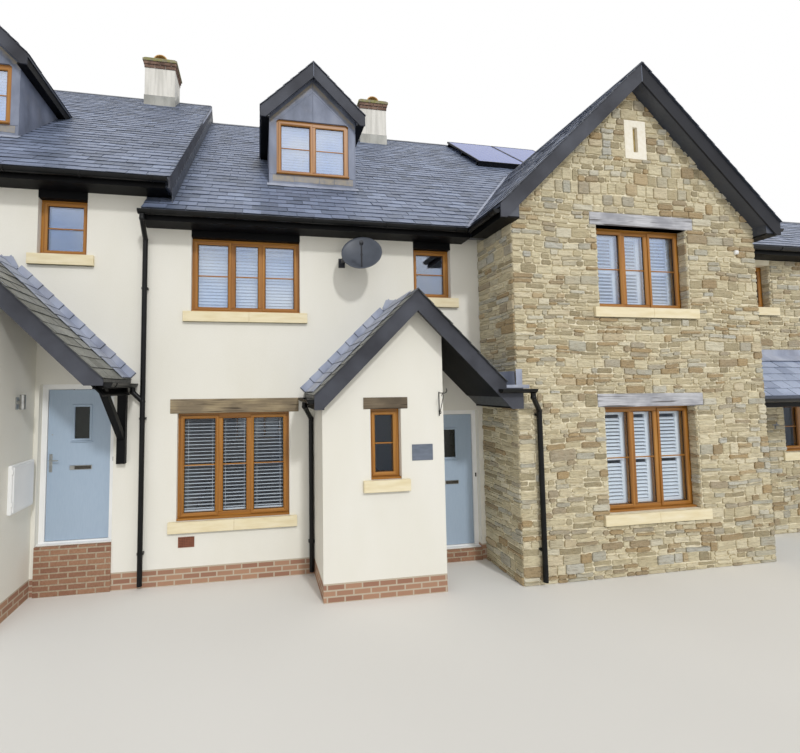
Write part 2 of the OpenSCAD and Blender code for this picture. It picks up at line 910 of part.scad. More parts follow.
module eaves_boards() {
    color("black")
        place() {
            at_house(1) {
                eaves_run(0, house_w + party_t, eaves_top_z);
                translate([0, house_depth, 0])
                    mirror([0, 1, 0])
                        eaves_run(0, house_w + party_t, eaves_top_z);
            }
            eaves_run(0, wing_ridge_x - gable_half, eaves_top_z);
            eaves_run(wing_ridge_x + gable_half, range_right, eaves_top_z);
            translate([0, house_depth, 0])
                mirror([0, 1, 0])
                    eaves_run(0, roof_end_x, eaves_top_z);
            translate([0, range_depth, 0])
                mirror([0, 1, 0])
                    eaves_run(main_end_x, range_right, eaves_top_z);
            for (side = [-1, 1])
                side_eaves(wing_ridge_x + side * gable_half, side < 0 ? wing_x : wing_right,
                    front_most + board_t, -eaves_out - board_t, soffit_z,
                    wing_z(wing_ridge_x + gable_half) - slate_lip - seat);
            for (k = [0, 1])
                at_house(k) {
                    side_eaves(porch_ridge_x - porch_left, porch_x, porch_front, 0,
                        porch_soffit_z, porch_z(porch_ridge_x - porch_left) - slate_lip - seat);
                    dormer_eaves();
                }
            at_house(1)
                side_eaves(porch_tip(1), porch_box_x(1), porch_front, 0, canopy_soffit_z,
                    porch_z(porch_tip(1)) - slate_lip - seat);
            box([porch_box_x(0), porch_front, trough_soffit_z],
                [trough_right, 0, trough_soffit_z + board_t]);
            box([wing_right, -lean_out - board_t, lean_low_z - lean_vt - board_t],
                [range_right, -lean_out, lean_low_z - slate_lip]);
        }
}

// Eaves boards along both sides of a dormer, down to the slates
module dormer_eaves() {
    intersection() {
        for (side = [-1, 1])
            side_eaves(dormer_mid + side * dormer_half, dormer_mid + side * dormer_w / 2,
                dormer_front, ridge_y, dormer_soffit_z,
                dormer_ridge_z - gable_slope * dormer_half - slate_lip - seat);
        over_main_roof(0, house_w, -seat);
    }
}

// A bargeboard follows both slopes of a gable and ends in level feet at the eaves; its right
// foot can reach on past the slates, to close the end of a lead gutter
function barge_profile(left, ridge, right, top_z, s, depth, left_foot_z, right_foot_z, ear) =
    concat([[left, top_z - s * (ridge - left)], [ridge, top_z],
        [right, top_z - s * (right - ridge)]],
        ear > 0 ? [[right, top_z - s * (right - ridge) - 2 * slate_lip],
            [right + ear, top_z - s * (right - ridge) - 2 * slate_lip]] : [],
        [[right + ear, right_foot_z], [ridge + (top_z - depth - right_foot_z) / s, right_foot_z],
        [ridge, top_z - depth], [ridge - (top_z - depth - left_foot_z) / s, left_foot_z],
        [left, left_foot_z]]);

module bargeboards() {
    color("black")
        place() {
            run_y(front_most, front_most + board_t,
                barge_profile(wing_ridge_x - gable_half, wing_ridge_x,
                    wing_ridge_x + gable_half, gable_ridge_z, gable_slope, barge_depth,
                    soffit_z, soffit_z, 0));
            for (k = [0, 1])
                at_house(k) {
                    run_y(porch_front - board_t, porch_front,
                        barge_profile(porch_ridge_x - porch_left, porch_ridge_x, porch_tip(k),
                            porch_ridge_z, porch_slope, barge_depth, porch_soffit_z,
                            k == 0 ? trough_soffit_z : canopy_soffit_z,
                            k == 0 ? trough_right - porch_tip(0) : 0));
                    run_y(dormer_front - board_t, dormer_front,
                        barge_profile(dormer_mid - dormer_half, dormer_mid,
                            dormer_mid + dormer_half, dormer_ridge_z, gable_slope,
                            dormer_barge, dormer_soffit_z, dormer_soffit_z, 0));
                }
            at_house(1)
                run_x(house_w + party_t + verge_out, house_w + party_t + verge_out + board_t,
                    barge_profile(-eaves_tip, ridge_y, house_depth + eaves_tip, ridge_z, slope,
                        verge_depth, soffit_z, soffit_z, 0));
        }
}

// Half-round gutter with closed ends, along X from x0 to x1
module gutter_run(x0, x1, y, z) {
    translate([x0, y, z])
        rotate([90, 0, 90])
            difference() {
                linear_extrude(x1 - x0)
                    gutter_half(gutter_r);
                translate([0, 0, gutter_t])
                    linear_extrude(x1 - x0 - 2 * gutter_t)
                        gutter_half(gutter_r - gutter_t);
            }
}

module gutter_half(r) {
    difference() {
        circle(r);
        translate([-2 * r, 0])
            square([4 * r, 2 * r]);
    }
}

// The same along Y, hung on an eaves board that starts at face
module side_gutter(face, out, y0, y1, z) {
    translate([face + out * gutter_r, y0, z])
        rotate([0, 0, 90])
            gutter_run(0, y1 - y0, 0, 0);
}

gutter_y = -eaves_out - board_t - gutter_r;
gutter_z = eaves_top_z - gutter_drop;
wing_left_face = wing_ridge_x - gable_half + slate_lip - board_t;
wing_right_face = wing_ridge_x + gable_half - slate_lip + board_t;
porch_left_face = porch_ridge_x - porch_left + slate_lip - board_t;
porch_right_face = porch_tip(1) - slate_lip + board_t;
porch_gutter_z = porch_z(porch_ridge_x - porch_left) - slate_lip - gutter_drop;
canopy_gutter_z = porch_z(porch_tip(1)) - slate_lip - gutter_drop;
trough_outlet_z = trough_z - 4 * gutter_t;
// The short gutter under the lead one starts before the slates' edge and ends past the corner
short_gutter_back = 120;
short_gutter_past = 130;

module gutters() {
    color("black")
        place() {
            at_house(1) {
                gutter_run(0, house_w + party_t + verge_out, gutter_y, gutter_z);
                gutter_run(0, house_w + party_t + verge_out, house_depth - gutter_y,
                    gutter_z);
                side_gutter(porch_right_face, 1, porch_front, 0, canopy_gutter_z);
            }
            gutter_run(-gutter_r / 2, wing_left_face - 2 * gutter_r, gutter_y, gutter_z);
            side_gutter(wing_left_face, -1, front_most + board_t, gutter_y + gutter_r,
                gutter_z);
            side_gutter(wing_right_face, 1, front_most + board_t, gutter_y + gutter_r,
                gutter_z);
            gutter_run(wing_right_face + 2 * gutter_r, range_right, gutter_y, gutter_z);
            gutter_run(0, roof_end_x, house_depth - gutter_y, gutter_z);
            gutter_run(main_end_x, range_right, range_depth - gutter_y, gutter_z);
            gutter_run(wing_right, range_right, -lean_out - board_t - gutter_r,
                lean_low_z - slate_lip);
            for (k = [0, 1])
                at_house(k)
                    side_gutter(porch_left_face, -1, porch_front, 0, porch_gutter_z);
            gutter_run(porch_tip(0) - short_gutter_back, wing_x + short_gutter_past,
                porch_front - board_t - gutter_r, trough_outlet_z);
        }
}

// Straight pipe between two points, with a round elbow at the first
elbow_over = 4;

module pipe(a, b) {
    d = b - a;
    len = norm(d);
    translate(a) {
        rotate([0, acos(d[2] / len), atan2(d[1], d[0])])
            cylinder(h = len, r = pipe_r);
        sphere(r = pipe_r + elbow_over);
    }
}

pipe_y = -pipe_gap - pipe_r;
outlet_drop = 60;
clip_h = 30;
clip_out = 8;
clip_gap = 2;
clip_step = 1800;
first_clip_z = 400;

// A downpipe on a wall at face, from its foot to its swan neck up to a gutter outlet
module downpipe(x, face, foot_z, neck_z, outlet) {
    bend = [x, face + pipe_y, neck_z];
    low = outlet - [0, 0, outlet_drop];
    translate([x, face + pipe_y, foot_z])
        cylinder(h = neck_z - foot_z, r = pipe_r);
    pipe(bend, low);
    pipe(low, outlet - [0, 0, seat]);
    for (z = [foot_z + first_clip_z : clip_step : neck_z])
        box([x - pipe_r - clip_out, face - pipe_gap - pipe_r, z],
            [x + pipe_r + clip_out, face, z + clip_h]);
}

// Where the downpipes stand, and how far below its gutter each one's swan neck starts
pipe_foot_z = 60;
neck_drop = 300;
main_outlet_x = 26;
porch_pipe_x = porch_x - clip_gap - clip_out - pipe_r;
porch_outlet_y = porch_front / 3;
trough_pipe_in = 275;
trough_outlet_in = 95;
// The branch from the left porch roof's gutter leans into the main downpipe
branch_x = porch_right_face + gutter_r - house_w;
branch_top_z = canopy_gutter_z + ground_step - gutter_r - seat;
branch_elbow_z = branch_top_z - outlet_drop;

module downpipes() {
    color("black")
        place() {
            downpipe(0, 0, pipe_foot_z, gutter_z - neck_drop,
                [main_outlet_x, gutter_y, gutter_z - gutter_r]);
            pipe([0, pipe_y, branch_elbow_z + branch_x], [branch_x, pipe_y, branch_elbow_z]);
            pipe([branch_x, pipe_y, branch_elbow_z], [branch_x, pipe_y, branch_top_z]);
            for (k = [0, 1])
                at_house(k)
                    downpipe(porch_pipe_x, 0, foot(k) + pipe_foot_z, porch_gutter_z - neck_drop,
                        [porch_left_face - gutter_r, porch_outlet_y, porch_gutter_z - gutter_r]);
            downpipe(wing_x + trough_pipe_in, -gable_out, pipe_foot_z,
                trough_outlet_z - neck_drop, [wing_x + trough_outlet_in,
                    porch_front - board_t - gutter_r, trough_outlet_z - gutter_r]);
        }
}

// Porch rooms with their roofs, which run on over the front doors
function porch_z(x) = porch_ridge_z - porch_slope * abs(x - porch_ridge_x);

module porch_walls(k) {
    room_left = porch_x + porch_wall_t;
    room_right = porch_right_x - porch_wall_t;
    difference() {
        run_y(-porch_out, 0, [
            [porch_x, foot(k)], [porch_right_x, foot(k)],
            [porch_right_x, porch_z(porch_right_x) - porch_vt - seat],
            [porch_ridge_x, porch_ridge_z - porch_vt - seat],
            [porch_x, porch_z(porch_x) - porch_vt - seat]]);
        box([room_left, -porch_out + porch_wall_t, ground_floor_z - slab_t],
            [room_right, 1, upper_wall_z]);
        porch_window("hole");
    }
}

module left_porch_walls() {
    color("ivory")
        place()
            at_house(1)
                porch_walls(1);
}

module middle_porch_walls() {
    color("ivory")
        place()
            porch_walls(0);
}

function porch_tip(k) = porch_ridge_x + porch_right + k * porch_extra;
function porch_low_z(k) = k == 0 ? trough_soffit_z : canopy_soffit_z;

// Where the sloping underside meets the level one at the right
function porch_box_x(k) = porch_ridge_x
    + (porch_ridge_z - porch_vt - porch_low_z(k) - board_t) / porch_slope;

// The right edge ends at eaves on the left house, and on the middle house in a lead gutter
// between the slates and the stone gable
function porch_right_edge(k, tip) = k == 0 ?
    [[trough_right, porch_low_z(k) + board_t], [trough_right, trough_z], [tip, trough_z]] :
    [[tip - slate_lip, porch_low_z(k) + board_t], [tip - slate_lip, porch_z(tip) - slate_lip],
     [tip, porch_z(tip) - slate_lip]];

module porch_roof(k) {
    left = porch_ridge_x - porch_left;
    tip = porch_tip(k);
    run_y(porch_front, 0, concat([
        [left, porch_z(left)], [left, porch_z(left) - slate_lip],
        [left + slate_lip, porch_z(left) - slate_lip],
        [left + slate_lip, porch_soffit_z + board_t], [porch_x, porch_soffit_z + board_t],
        [porch_x, porch_z(porch_x) - porch_vt], [porch_ridge_x, porch_ridge_z - porch_vt],
        [porch_box_x(k), porch_low_z(k) + board_t]],
        porch_right_edge(k, tip),
        [[tip, porch_z(tip)], [porch_ridge_x, porch_ridge_z]]));
}

module porch_roofs() {
    color("slategray")
        place()
            for (k = [0, 1])
                at_house(k)
                    porch_roof(k);
}

// Timber bracket on the wall that carries the left porch roof's right edge
bracket_x = porch_tip(1) - slate_lip - bracket_w;
beam_front = porch_front + bracket_d;
brace_in = 14;

module canopy_bracket() {
    beam_z = canopy_soffit_z - bracket_d / 2;
    color("black")
        place()
            at_house(1) {
                box([bracket_x, -bracket_d, bracket_foot_z], [bracket_x + bracket_w, 0, beam_z]);
                box([bracket_x, beam_front, beam_z],
                    [bracket_x + bracket_w, 0, canopy_soffit_z]);
                run_x(bracket_x + brace_in, bracket_x + bracket_w - brace_in, [
                    [-bracket_d, brace_z], [-bracket_d, brace_z + bracket_w],
                    [beam_front + 2 * bracket_w, beam_z], [beam_front + bracket_w, beam_z]]);
            }
}

// Dormers stand on the slates and run back into the roof
module dormer_walls() {
    side_z = dormer_ceiling_z - gable_slope * dormer_w / 2 - seat;
    color("dimgray")
        place()
            for (k = [0, 1])
                at_house(k)
                    difference() {
                        intersection() {
                            run_y(dormer_y, ridge_y, [
                                [dormer_x, 0], [dormer_x + dormer_w, 0],
                                [dormer_x + dormer_w, side_z],
                                [dormer_mid, dormer_ceiling_z - seat], [dormer_x, side_z]]);
                            over_main_roof(0, house_w, -seat);
                        }
                        dormer_void(far);
                        dormer_window("hole");
                    }
}

module dormer_roofs() {
    color("slategray")
        place()
            for (k = [0, 1])
                at_house(k)
                    intersection() {
                        run_y(dormer_front, ridge_y,
                            boxed_roof(dormer_mid - dormer_half, dormer_x, dormer_mid,
                                dormer_x + dormer_w, dormer_mid + dormer_half,
                                dormer_ridge_z, gable_slope, dormer_vt, dormer_soffit_z));
                        over_main_roof(0, house_w, -seat);
                    }
}

// Windows
module left_window_frames() {
    color("peru")
        place()
            at_house(1) {
                lower_window("frame");
                upper_windows("frame");
                porch_window("frame");
                dormer_window("frame");
            }
}

module middle_window_frames() {
    color("peru")
        place() {
            lower_window("frame");
            upper_windows("frame");
            porch_window("frame");
            dormer_window("frame");
        }
}

module right_window_frames() {
    color("peru")
        place() {
            wing_windows("frame");
            range_windows("frame");
        }
}

module rear_window_frames() {
    color("peru")
        place()
            rear_windows("frame");
}

module window_glass() {
    color("lightsteelblue")
        place() {
            for (k = [0, 1])
                at_house(k) {
                    lower_window("glass");
                    upper_windows("glass");
                    porch_window("glass");
                    dormer_window("glass");
                }
            wing_windows("glass");
            range_windows("glass");
            rear_windows("glass");
        }
}

// Front doors: a fixed frame, and a leaf hung on its right jamb by three butt hinges
hinge_t = 3;
hinge_wing = 36;
first_hinge_z = 250;
hinge_step = 780;
knuckle_h = hinge_h / 3;
hinge_x = door_x + door_w - door_frame_w;
hinge_y = reveal + frame_d + hinge_r + hinge_gap;

function hinge_z(i) = ground_floor_z + first_hinge_z + i * hinge_step;

// One hinge knuckle with its plate: side 1 on the jamb, -1 on the leaf
module knuckle(side, z, h) {
    translate([hinge_x, hinge_y, z])
        cylinder(h = h, r = hinge_r);
    box([min(hinge_x, hinge_x + side * hinge_wing), hinge_y - hinge_r - hinge_gap, z],
        [max(hinge_x, hinge_x + side * hinge_wing), hinge_y - hinge_r + hinge_t, z + h]);
}

module door_frame() {
    difference() {
        box([door_x, reveal, ground_floor_z], [door_x + door_w, reveal + frame_d, door_top_z]);
        box([door_x + door_frame_w, reveal - 1, ground_floor_z + threshold_h],
            [door_x + door_w - door_frame_w, reveal + frame_d + 1,
             door_top_z - door_frame_w]);
    }
    box([door_x, reveal - 2 * threshold_h, ground_floor_z],
        [door_x + door_w, reveal, ground_floor_z + threshold_h / 2]);
    for (i = [0 : 2]) {
        knuckle(1, hinge_z(i), knuckle_h - hinge_gap);
        knuckle(1, hinge_z(i) + 2 * knuckle_h + hinge_gap, knuckle_h - hinge_gap);
    }
}

module door_frames() {
    color("white")
        place()
            for (k = [0, 1])
                at_house(k)
                    door_frame();
}

leaf_y = reveal + frame_d - leaf_t;

module door_leaf() {
    difference() {
        box([door_x + door_frame_w + leaf_gap, leaf_y, ground_floor_z + threshold_h + leaf_gap],
            [door_x + door_w - door_frame_w - leaf_gap, leaf_y + leaf_t,
             door_top_z - door_frame_w - leaf_gap]);
        box([door_x + pane_x, leaf_y - 1, ground_floor_z + pane_z],
            [door_x + pane_x + pane_w, leaf_y + leaf_t + 1, ground_floor_z + pane_z + pane_h]);
    }
    for (i = [0 : 2])
        knuckle(-1, hinge_z(i) + knuckle_h, knuckle_h);
}

// Glass pane, letter plate, and a lever handle on its long plate
plate_x = 350;
plate_w = 280;
plate_z = 960;
plate_h = 60;
plate_t = 8;
handle_x = 95;
handle_w = 40;
handle_z = 940;
handle_h = 240;
lever_z = 1100;
lever_r = 9;
lever_out = 44;
lever_l = 110;

module door_fittings() {
    z = ground_floor_z;
    box([door_x + pane_x, leaf_y + leaf_t / 4, z + pane_z],
        [door_x + pane_x + pane_w, leaf_y + leaf_t * 3 / 4, z + pane_z + pane_h]);
    box([door_x + plate_x, leaf_y - plate_t, z + plate_z],
        [door_x + plate_x + plate_w, leaf_y, z + plate_z + plate_h]);
    box([door_x + handle_x, leaf_y - plate_t, z + handle_z],
        [door_x + handle_x + handle_w, leaf_y, z + handle_z + handle_h]);
    translate([door_x + handle_x + handle_w / 2, leaf_y - plate_t, z + lever_z])
        rotate([90, 0, 0])
            cylinder(h = lever_out, r = lever_r);
    box([door_x + handle_x + handle_w / 2 - lever_r, leaf_y - plate_t - lever_out - lever_r,
         z + lever_z - lever_r],
        [door_x + handle_x + handle_w / 2 + lever_l, leaf_y - plate_t - lever_out + lever_r,
         z + lever_z + lever_r]);
}

module left_door() {
    color("lightslategray")
        place()
            at_house(1)
                door_leaf();
}

module left_door_fittings() {
    color("silver")
        place()
            at_house(1)
                door_fittings();
}

module middle_door() {
    color("lightslategray")
        place()
            door_leaf();
}

module middle_door_fittings() {
    color("silver")
        place()
            door_fittings();
}

module fixed_door() {
    box([0, reveal, ground_floor_z], [door_w, reveal + frame_d, door_top_z]);
}

module fixed_doors() {
    color("lightslategray")
        place() {
            each_rear_door()
                fixed_door();
            translate([range_door_x, 0, 0])
                fixed_door();
        }
}

// Chimneys stand on the slates astride the ridge, and widen at the top in brick courses
// below a slab with a half-round cowl
module chimney_block(out, z0, z1) {
    box([chimney_x - out, chimney_y - out, z0],
        [chimney_x + chimney_w + out, chimney_y + chimney_d + out, z1]);
}

module chimney_cowl() {
    translate([chimney_x + chimney_w / 2, chimney_y + chimney_d - course_out, chimney_top_z])
        rotate([90, 0, 0])
            linear_extrude(chimney_d - 2 * course_out)
                difference() {
                    circle(cowl_r);
                    circle(cowl_r - cowl_t);
                    translate([-2 * cowl_r, -2 * cowl_r])
                        square([4 * cowl_r, 2 * cowl_r]);
                }
}

module chimneys() {
    low_z = roof_z(chimney_y) - roof_t;
    body_z = chimney_top_z - slab_h - 2 * course_h;
    color("lightgray")
        place()
            for (k = [0, 1])
                at_house(k) {
                    difference() {
                        union() {
                            chimney_block(0, low_z, body_z);
                            chimney_block(course_out, body_z, body_z + course_h);
                            chimney_block(2 * course_out, body_z + course_h,
                                body_z + 2 * course_h);
                            chimney_block(3 * course_out, body_z + 2 * course_h,
                                chimney_top_z);
                        }
                        run_x(0, house_w, [
                            [0, 0], [house_depth, 0], [house_depth, roof_z(0) + seat],
                            [ridge_y, ridge_z + seat], [0, roof_z(0) + seat]]);
                    }
                    chimney_cowl();
                }
}

// Stone sills
module sill(x, z, w, face) {
    box([x - sill_ear, face - sill_out, z - sill_h], [x + w + sill_ear, face, z]);
}

module sills() {
    color("palegoldenrod")
        place() {
            for (k = [0, 1])
                at_house(k) {
                    sill(lower_win_x, lower_win_z, win_w, 0);
                    sill(upper_win_x, upper_win_z, win_w, 0);
                    sill(small_win_x, small_win_z, small_win_w, 0);
                    sill(porch_win_x, porch_win_z, porch_win_w, -porch_out);
                }
            sill(gable_win_x, gable_upper_z, gable_win_w, -gable_out);
            sill(gable_win_x, gable_lower_z, gable_win_w, -gable_out);
            sill(range_small_x, small_win_z, small_win_w, 0);
        }
}

// Lintels over the lower windows
lintel_h = 190;
lintel_out = 12;

module lintel(x, z, w, face) {
    box([x - sill_ear, face - lintel_out, z], [x + w + sill_ear, face, z + lintel_h]);
}

module lintels() {
    color("gray")
        place() {
            for (k = [0, 1])
                at_house(k) {
                    lintel(lower_win_x, lower_win_z + lower_win_h, win_w, 0);
                    lintel(porch_win_x, porch_win_z + porch_win_h, porch_win_w, -porch_out);
                }
            lintel(gable_win_x, gable_upper_z + gable_upper_h, gable_win_w, -gable_out);
            lintel(gable_win_x, gable_lower_z + gable_lower_h, gable_win_w, -gable_out);
        }
}

// The pale stone block round the vent slit
module vent_block() {
    color("palegoldenrod")
        place()
            difference() {
                box([slit_block_x, -gable_out - lintel_out, slit_block_z],
                    [slit_block_x + slit_block_w, -gable_out + stone_t,
                     slit_block_z + slit_block_h]);
                box([slit_x, -gable_out - far, slit_z],
                    [slit_x + slit_w, -gable_out + stone_t + 1, slit_z + slit_h]);
            }
}

// Brick steps under the front doors
module door_steps() {
    color("sienna")
        place()
            for (k = [0, 1])
                at_house(k) {
                    box([door_x, 0, foot(k)], [door_x + door_w, wall_t, ground_floor_z]);
                    box([door_x, -step_out, foot(k)], [door_x + door_w, 0, ground_floor_z]);
                }
}

// Two solar panels on rails over the slates
panel_gap = 20;
rail_w = 40;
// Places of the rails up the panels, as shares of their length
rail_places = [0.05, 0.5, 0.95];

module solar_panels() {
    color("midnightblue")
        place()
            translate([panel_x, panel_y, roof_z(panel_y)])
                rotate([roof_pitch, 0, 0]) {
                    for (i = [0, 1])
                        translate([i * (panel_w + panel_gap), 0, panel_rail])
                            cube([panel_w, panel_l, panel_t]);
                    for (share = rail_places)
                        translate([0, share * panel_l - rail_w / 2, seat])
                            cube([2 * panel_w + panel_gap, rail_w, panel_rail - seat]);
                }
}

// A shallow round dish on a bracket, with its receiver on an arm
dish_bracket = 60;
arm_r = 11;
arm_l = 330;
arm_lean = 38;
arm_y = 3 * arm_r - dish_r;
horn_r = 28;
bowl_rings = 6;

// Depth of the bowl over its middle, at a radius
function bowl(r) = dish_deep * r * r / (dish_r * dish_r);

module dish_bowl() {
    rings = [0 : dish_r / bowl_rings : dish_r];
    rotate_extrude($fn = 48)
        polygon(concat([for (r = rings) [r, bowl(r)]],
            [for (r = rings) [dish_r - r, bowl(dish_r - r) + gutter_t]]));
}

module satellite_dish() {
    color("dimgray")
        place() {
            translate([dish_x, -dish_out, dish_z])
                rotate([90 - dish_tilt, 0, -dish_turn]) {
                    dish_bowl();
                    translate([0, 0, -dish_bracket])
                        cylinder(h = dish_bracket + gutter_t / 2, r = 2 * arm_r);
                    translate([0, arm_y, bowl(-arm_y)])
                        rotate([-arm_lean, 0, 0])
                            cylinder(h = arm_l, r = arm_r);
                    translate([0, arm_y + arm_l * sin(arm_lean),
                        bowl(-arm_y) + arm_l * cos(arm_lean)])
                        cylinder(h = 2 * horn_r, r = horn_r, center = true);
                }
            translate([dish_x, -dish_out + dish_bracket, dish_z - dish_bracket / 2])
                rotate([-90, 0, 0])
                    cylinder(h = dish_out - dish_bracket, r = 2 * arm_r);
            box([dish_x - dish_bracket, -2 * gutter_t, dish_z - 2 * dish_bracket],
                [dish_x + dish_bracket, 0, dish_z + dish_bracket]);
        }
}

// Meter box and lamp on the left porch's side wall, plates, sensor and an iron bracket
meter_low = [-552, 750];
meter_high = [-60, 1330];
meter_t = 60;
lamp_y = -420;
lamp_z = 1990;
lamp_r = 32;
lamp_h = 180;
lamp_arm = 20;
lamp_back_h = 150;
lamp_bite = 4;
plate_low = [3548, 1709];
plate_high = [3837, 1919];
number_low = [10730, 1850];
number_high = [10880, 1970];
badge_t = 8;
sensor_at = [8840, 4680];
sensor_size = 60;
iron_at = [3935, 2285];
iron_w = 14;
iron_h = 320;
iron_out = 250;

module wall_lamp() {
    arm_x = porch_right_x + lamp_arm;
    lamp_mid = lamp_z + lamp_h / 2;
    box([porch_right_x, lamp_y - lamp_r, lamp_z],
        [arm_x, lamp_y + lamp_r, lamp_z + lamp_back_h]);
    box([arm_x, lamp_y - lamp_arm, lamp_mid - lamp_arm],
        [arm_x + lamp_arm, lamp_y + lamp_arm, lamp_mid + lamp_arm]);
    translate([arm_x + lamp_arm + lamp_r - lamp_bite, lamp_y, lamp_z])
        cylinder(h = lamp_h, r = lamp_r);
}

module wall_fittings() {
    porch_face = -porch_out;
    color("whitesmoke")
        place() {
            at_house(1) {
                box([porch_right_x, meter_low[0], meter_low[1]],
                    [porch_right_x + meter_t, meter_high[0], meter_high[1]]);
                wall_lamp();
            }
            box([plate_low[0], porch_face - badge_t, plate_low[1]],
                [plate_high[0], porch_face, plate_high[1]]);
            box([number_low[0], -badge_t, number_low[1]], [number_high[0], 0, number_high[1]]);
            box([sensor_at[0], -gable_out - sensor_size, sensor_at[1]],
                [sensor_at[0] + sensor_size, -gable_out, sensor_at[1] + sensor_size]);
            box([iron_at[0], porch_face - iron_w, iron_at[1]],
                [iron_at[0] + iron_w, porch_face, iron_at[1] + iron_h]);
            box([iron_at[0], porch_face - iron_out, iron_at[1] + iron_h - iron_w],
                [iron_at[0] + iron_w, porch_face - iron_w, iron_at[1] + iron_h]);
        }
}

party_walls();
end_walls();
left_ground_wall();
left_upper_wall();
middle_ground_wall();
middle_upper_wall();
door_head_walls();
wing_front_wall();
wing_side_walls();
range_front_wall();
rear_walls();
ground_floors();
first_floors();
attic_floors();
left_roof();
middle_roof();
wing_roof();
range_roof();
canopy_roof();
eaves_boards();
bargeboards();
gutters();
downpipes();
left_porch_walls();
middle_porch_walls();
porch_roofs();
dormer_walls();
dormer_roofs();
left_window_frames();
middle_window_frames();
right_window_frames();
rear_window_frames();
window_glass();
door_frames();
left_door();
left_door_fittings();
middle_door();
middle_door_fittings();
fixed_doors();
chimneys();
sills();
lintels();
vent_block();
door_steps();
canopy_bracket();
solar_panels();
satellite_dish();
wall_fittings();
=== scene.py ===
# A row of terraced houses: two rendered ones, a stone gabled one and its lower side range.
# Everything is in metres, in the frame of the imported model, and is put on in the order in
# which such a row is built: walls, roofs, rainwater goods, windows, doors, then fittings.
import math
import random

import bmesh
import bpy
from mathutils import Matrix, Vector


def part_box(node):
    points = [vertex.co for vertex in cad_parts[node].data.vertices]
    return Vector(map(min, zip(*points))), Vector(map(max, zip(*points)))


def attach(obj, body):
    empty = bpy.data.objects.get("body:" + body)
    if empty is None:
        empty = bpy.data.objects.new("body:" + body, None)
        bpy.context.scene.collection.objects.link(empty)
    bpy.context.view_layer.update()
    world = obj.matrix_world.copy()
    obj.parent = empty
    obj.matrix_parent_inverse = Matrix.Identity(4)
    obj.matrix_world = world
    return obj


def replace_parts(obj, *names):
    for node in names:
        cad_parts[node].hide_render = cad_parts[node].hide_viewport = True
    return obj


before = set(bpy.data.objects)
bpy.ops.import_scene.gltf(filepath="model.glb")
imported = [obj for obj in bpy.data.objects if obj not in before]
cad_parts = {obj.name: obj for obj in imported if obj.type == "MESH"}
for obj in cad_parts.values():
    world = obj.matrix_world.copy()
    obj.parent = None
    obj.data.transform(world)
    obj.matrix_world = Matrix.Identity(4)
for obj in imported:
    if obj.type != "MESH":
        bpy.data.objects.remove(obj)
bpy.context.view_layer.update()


# Rendered walls. Blockwork with a through-coloured ivory render, scraped back while it was
# soft, so that it is dead matt with a sandy grain. It stops on a plinth of red bricks, three
# courses high, and rain has left faint grey streaks on it.
def linear(code):
    """A colour written as an sRGB hex value, as the shaders want it."""
    parts = [int(code[i:i + 2], 16) / 255 for i in (1, 3, 5)]
    return [c / 12.92 if c < 0.04045 else ((c + 0.055) / 1.055) ** 2.4 for c in parts] + [1]


def add(tree, kind, inputs=(), stops=(), **settings):
    """
    Adds a node with its own settings and the stops of its ramp, and fills its inputs by name or number. Each gets a
    value, a link, or a sum to work out, such as ("ADD", a, ("MULTIPLY", b, 2.0)).
    """
    node = tree.nodes.new(kind)
    for key, value in settings.items():
        setattr(node, key, value)
    if stops:
        points = node.color_ramp.elements
        while len(points) < len(stops):
            points.new(1.0)
        for point, (place, code) in zip(points, stops):
            point.position = place
            point.color = linear(code)
    for key, value in dict(inputs).items():
        if isinstance(value, tuple) and isinstance(value[0], str):
            value = add(tree, "ShaderNodeMath", enumerate(value[1:]), operation=value[0])
        if isinstance(value, bpy.types.Node):
            value = value.outputs[0]
        if isinstance(value, bpy.types.NodeSocket):
            tree.links.new(value, node.inputs[key])
        else:
            node.inputs[key].default_value = value
    return node


def mottle(tree, size, detail=2.0, stretch=(1, 1, 1)):
    """A cloudy pattern from 0 to 1, with spots of that size in metres, longer where it is stretched."""
    place = add(tree, "ShaderNodeTexCoord").outputs["Object"]
    near = add(tree, "ShaderNodeMapping", {"Vector": place, "Scale": [1 / size / s for s in stretch]})
    return add(tree, "ShaderNodeTexNoise", {"Vector": near, "Scale": 1.0, "Detail": detail}).outputs[0]


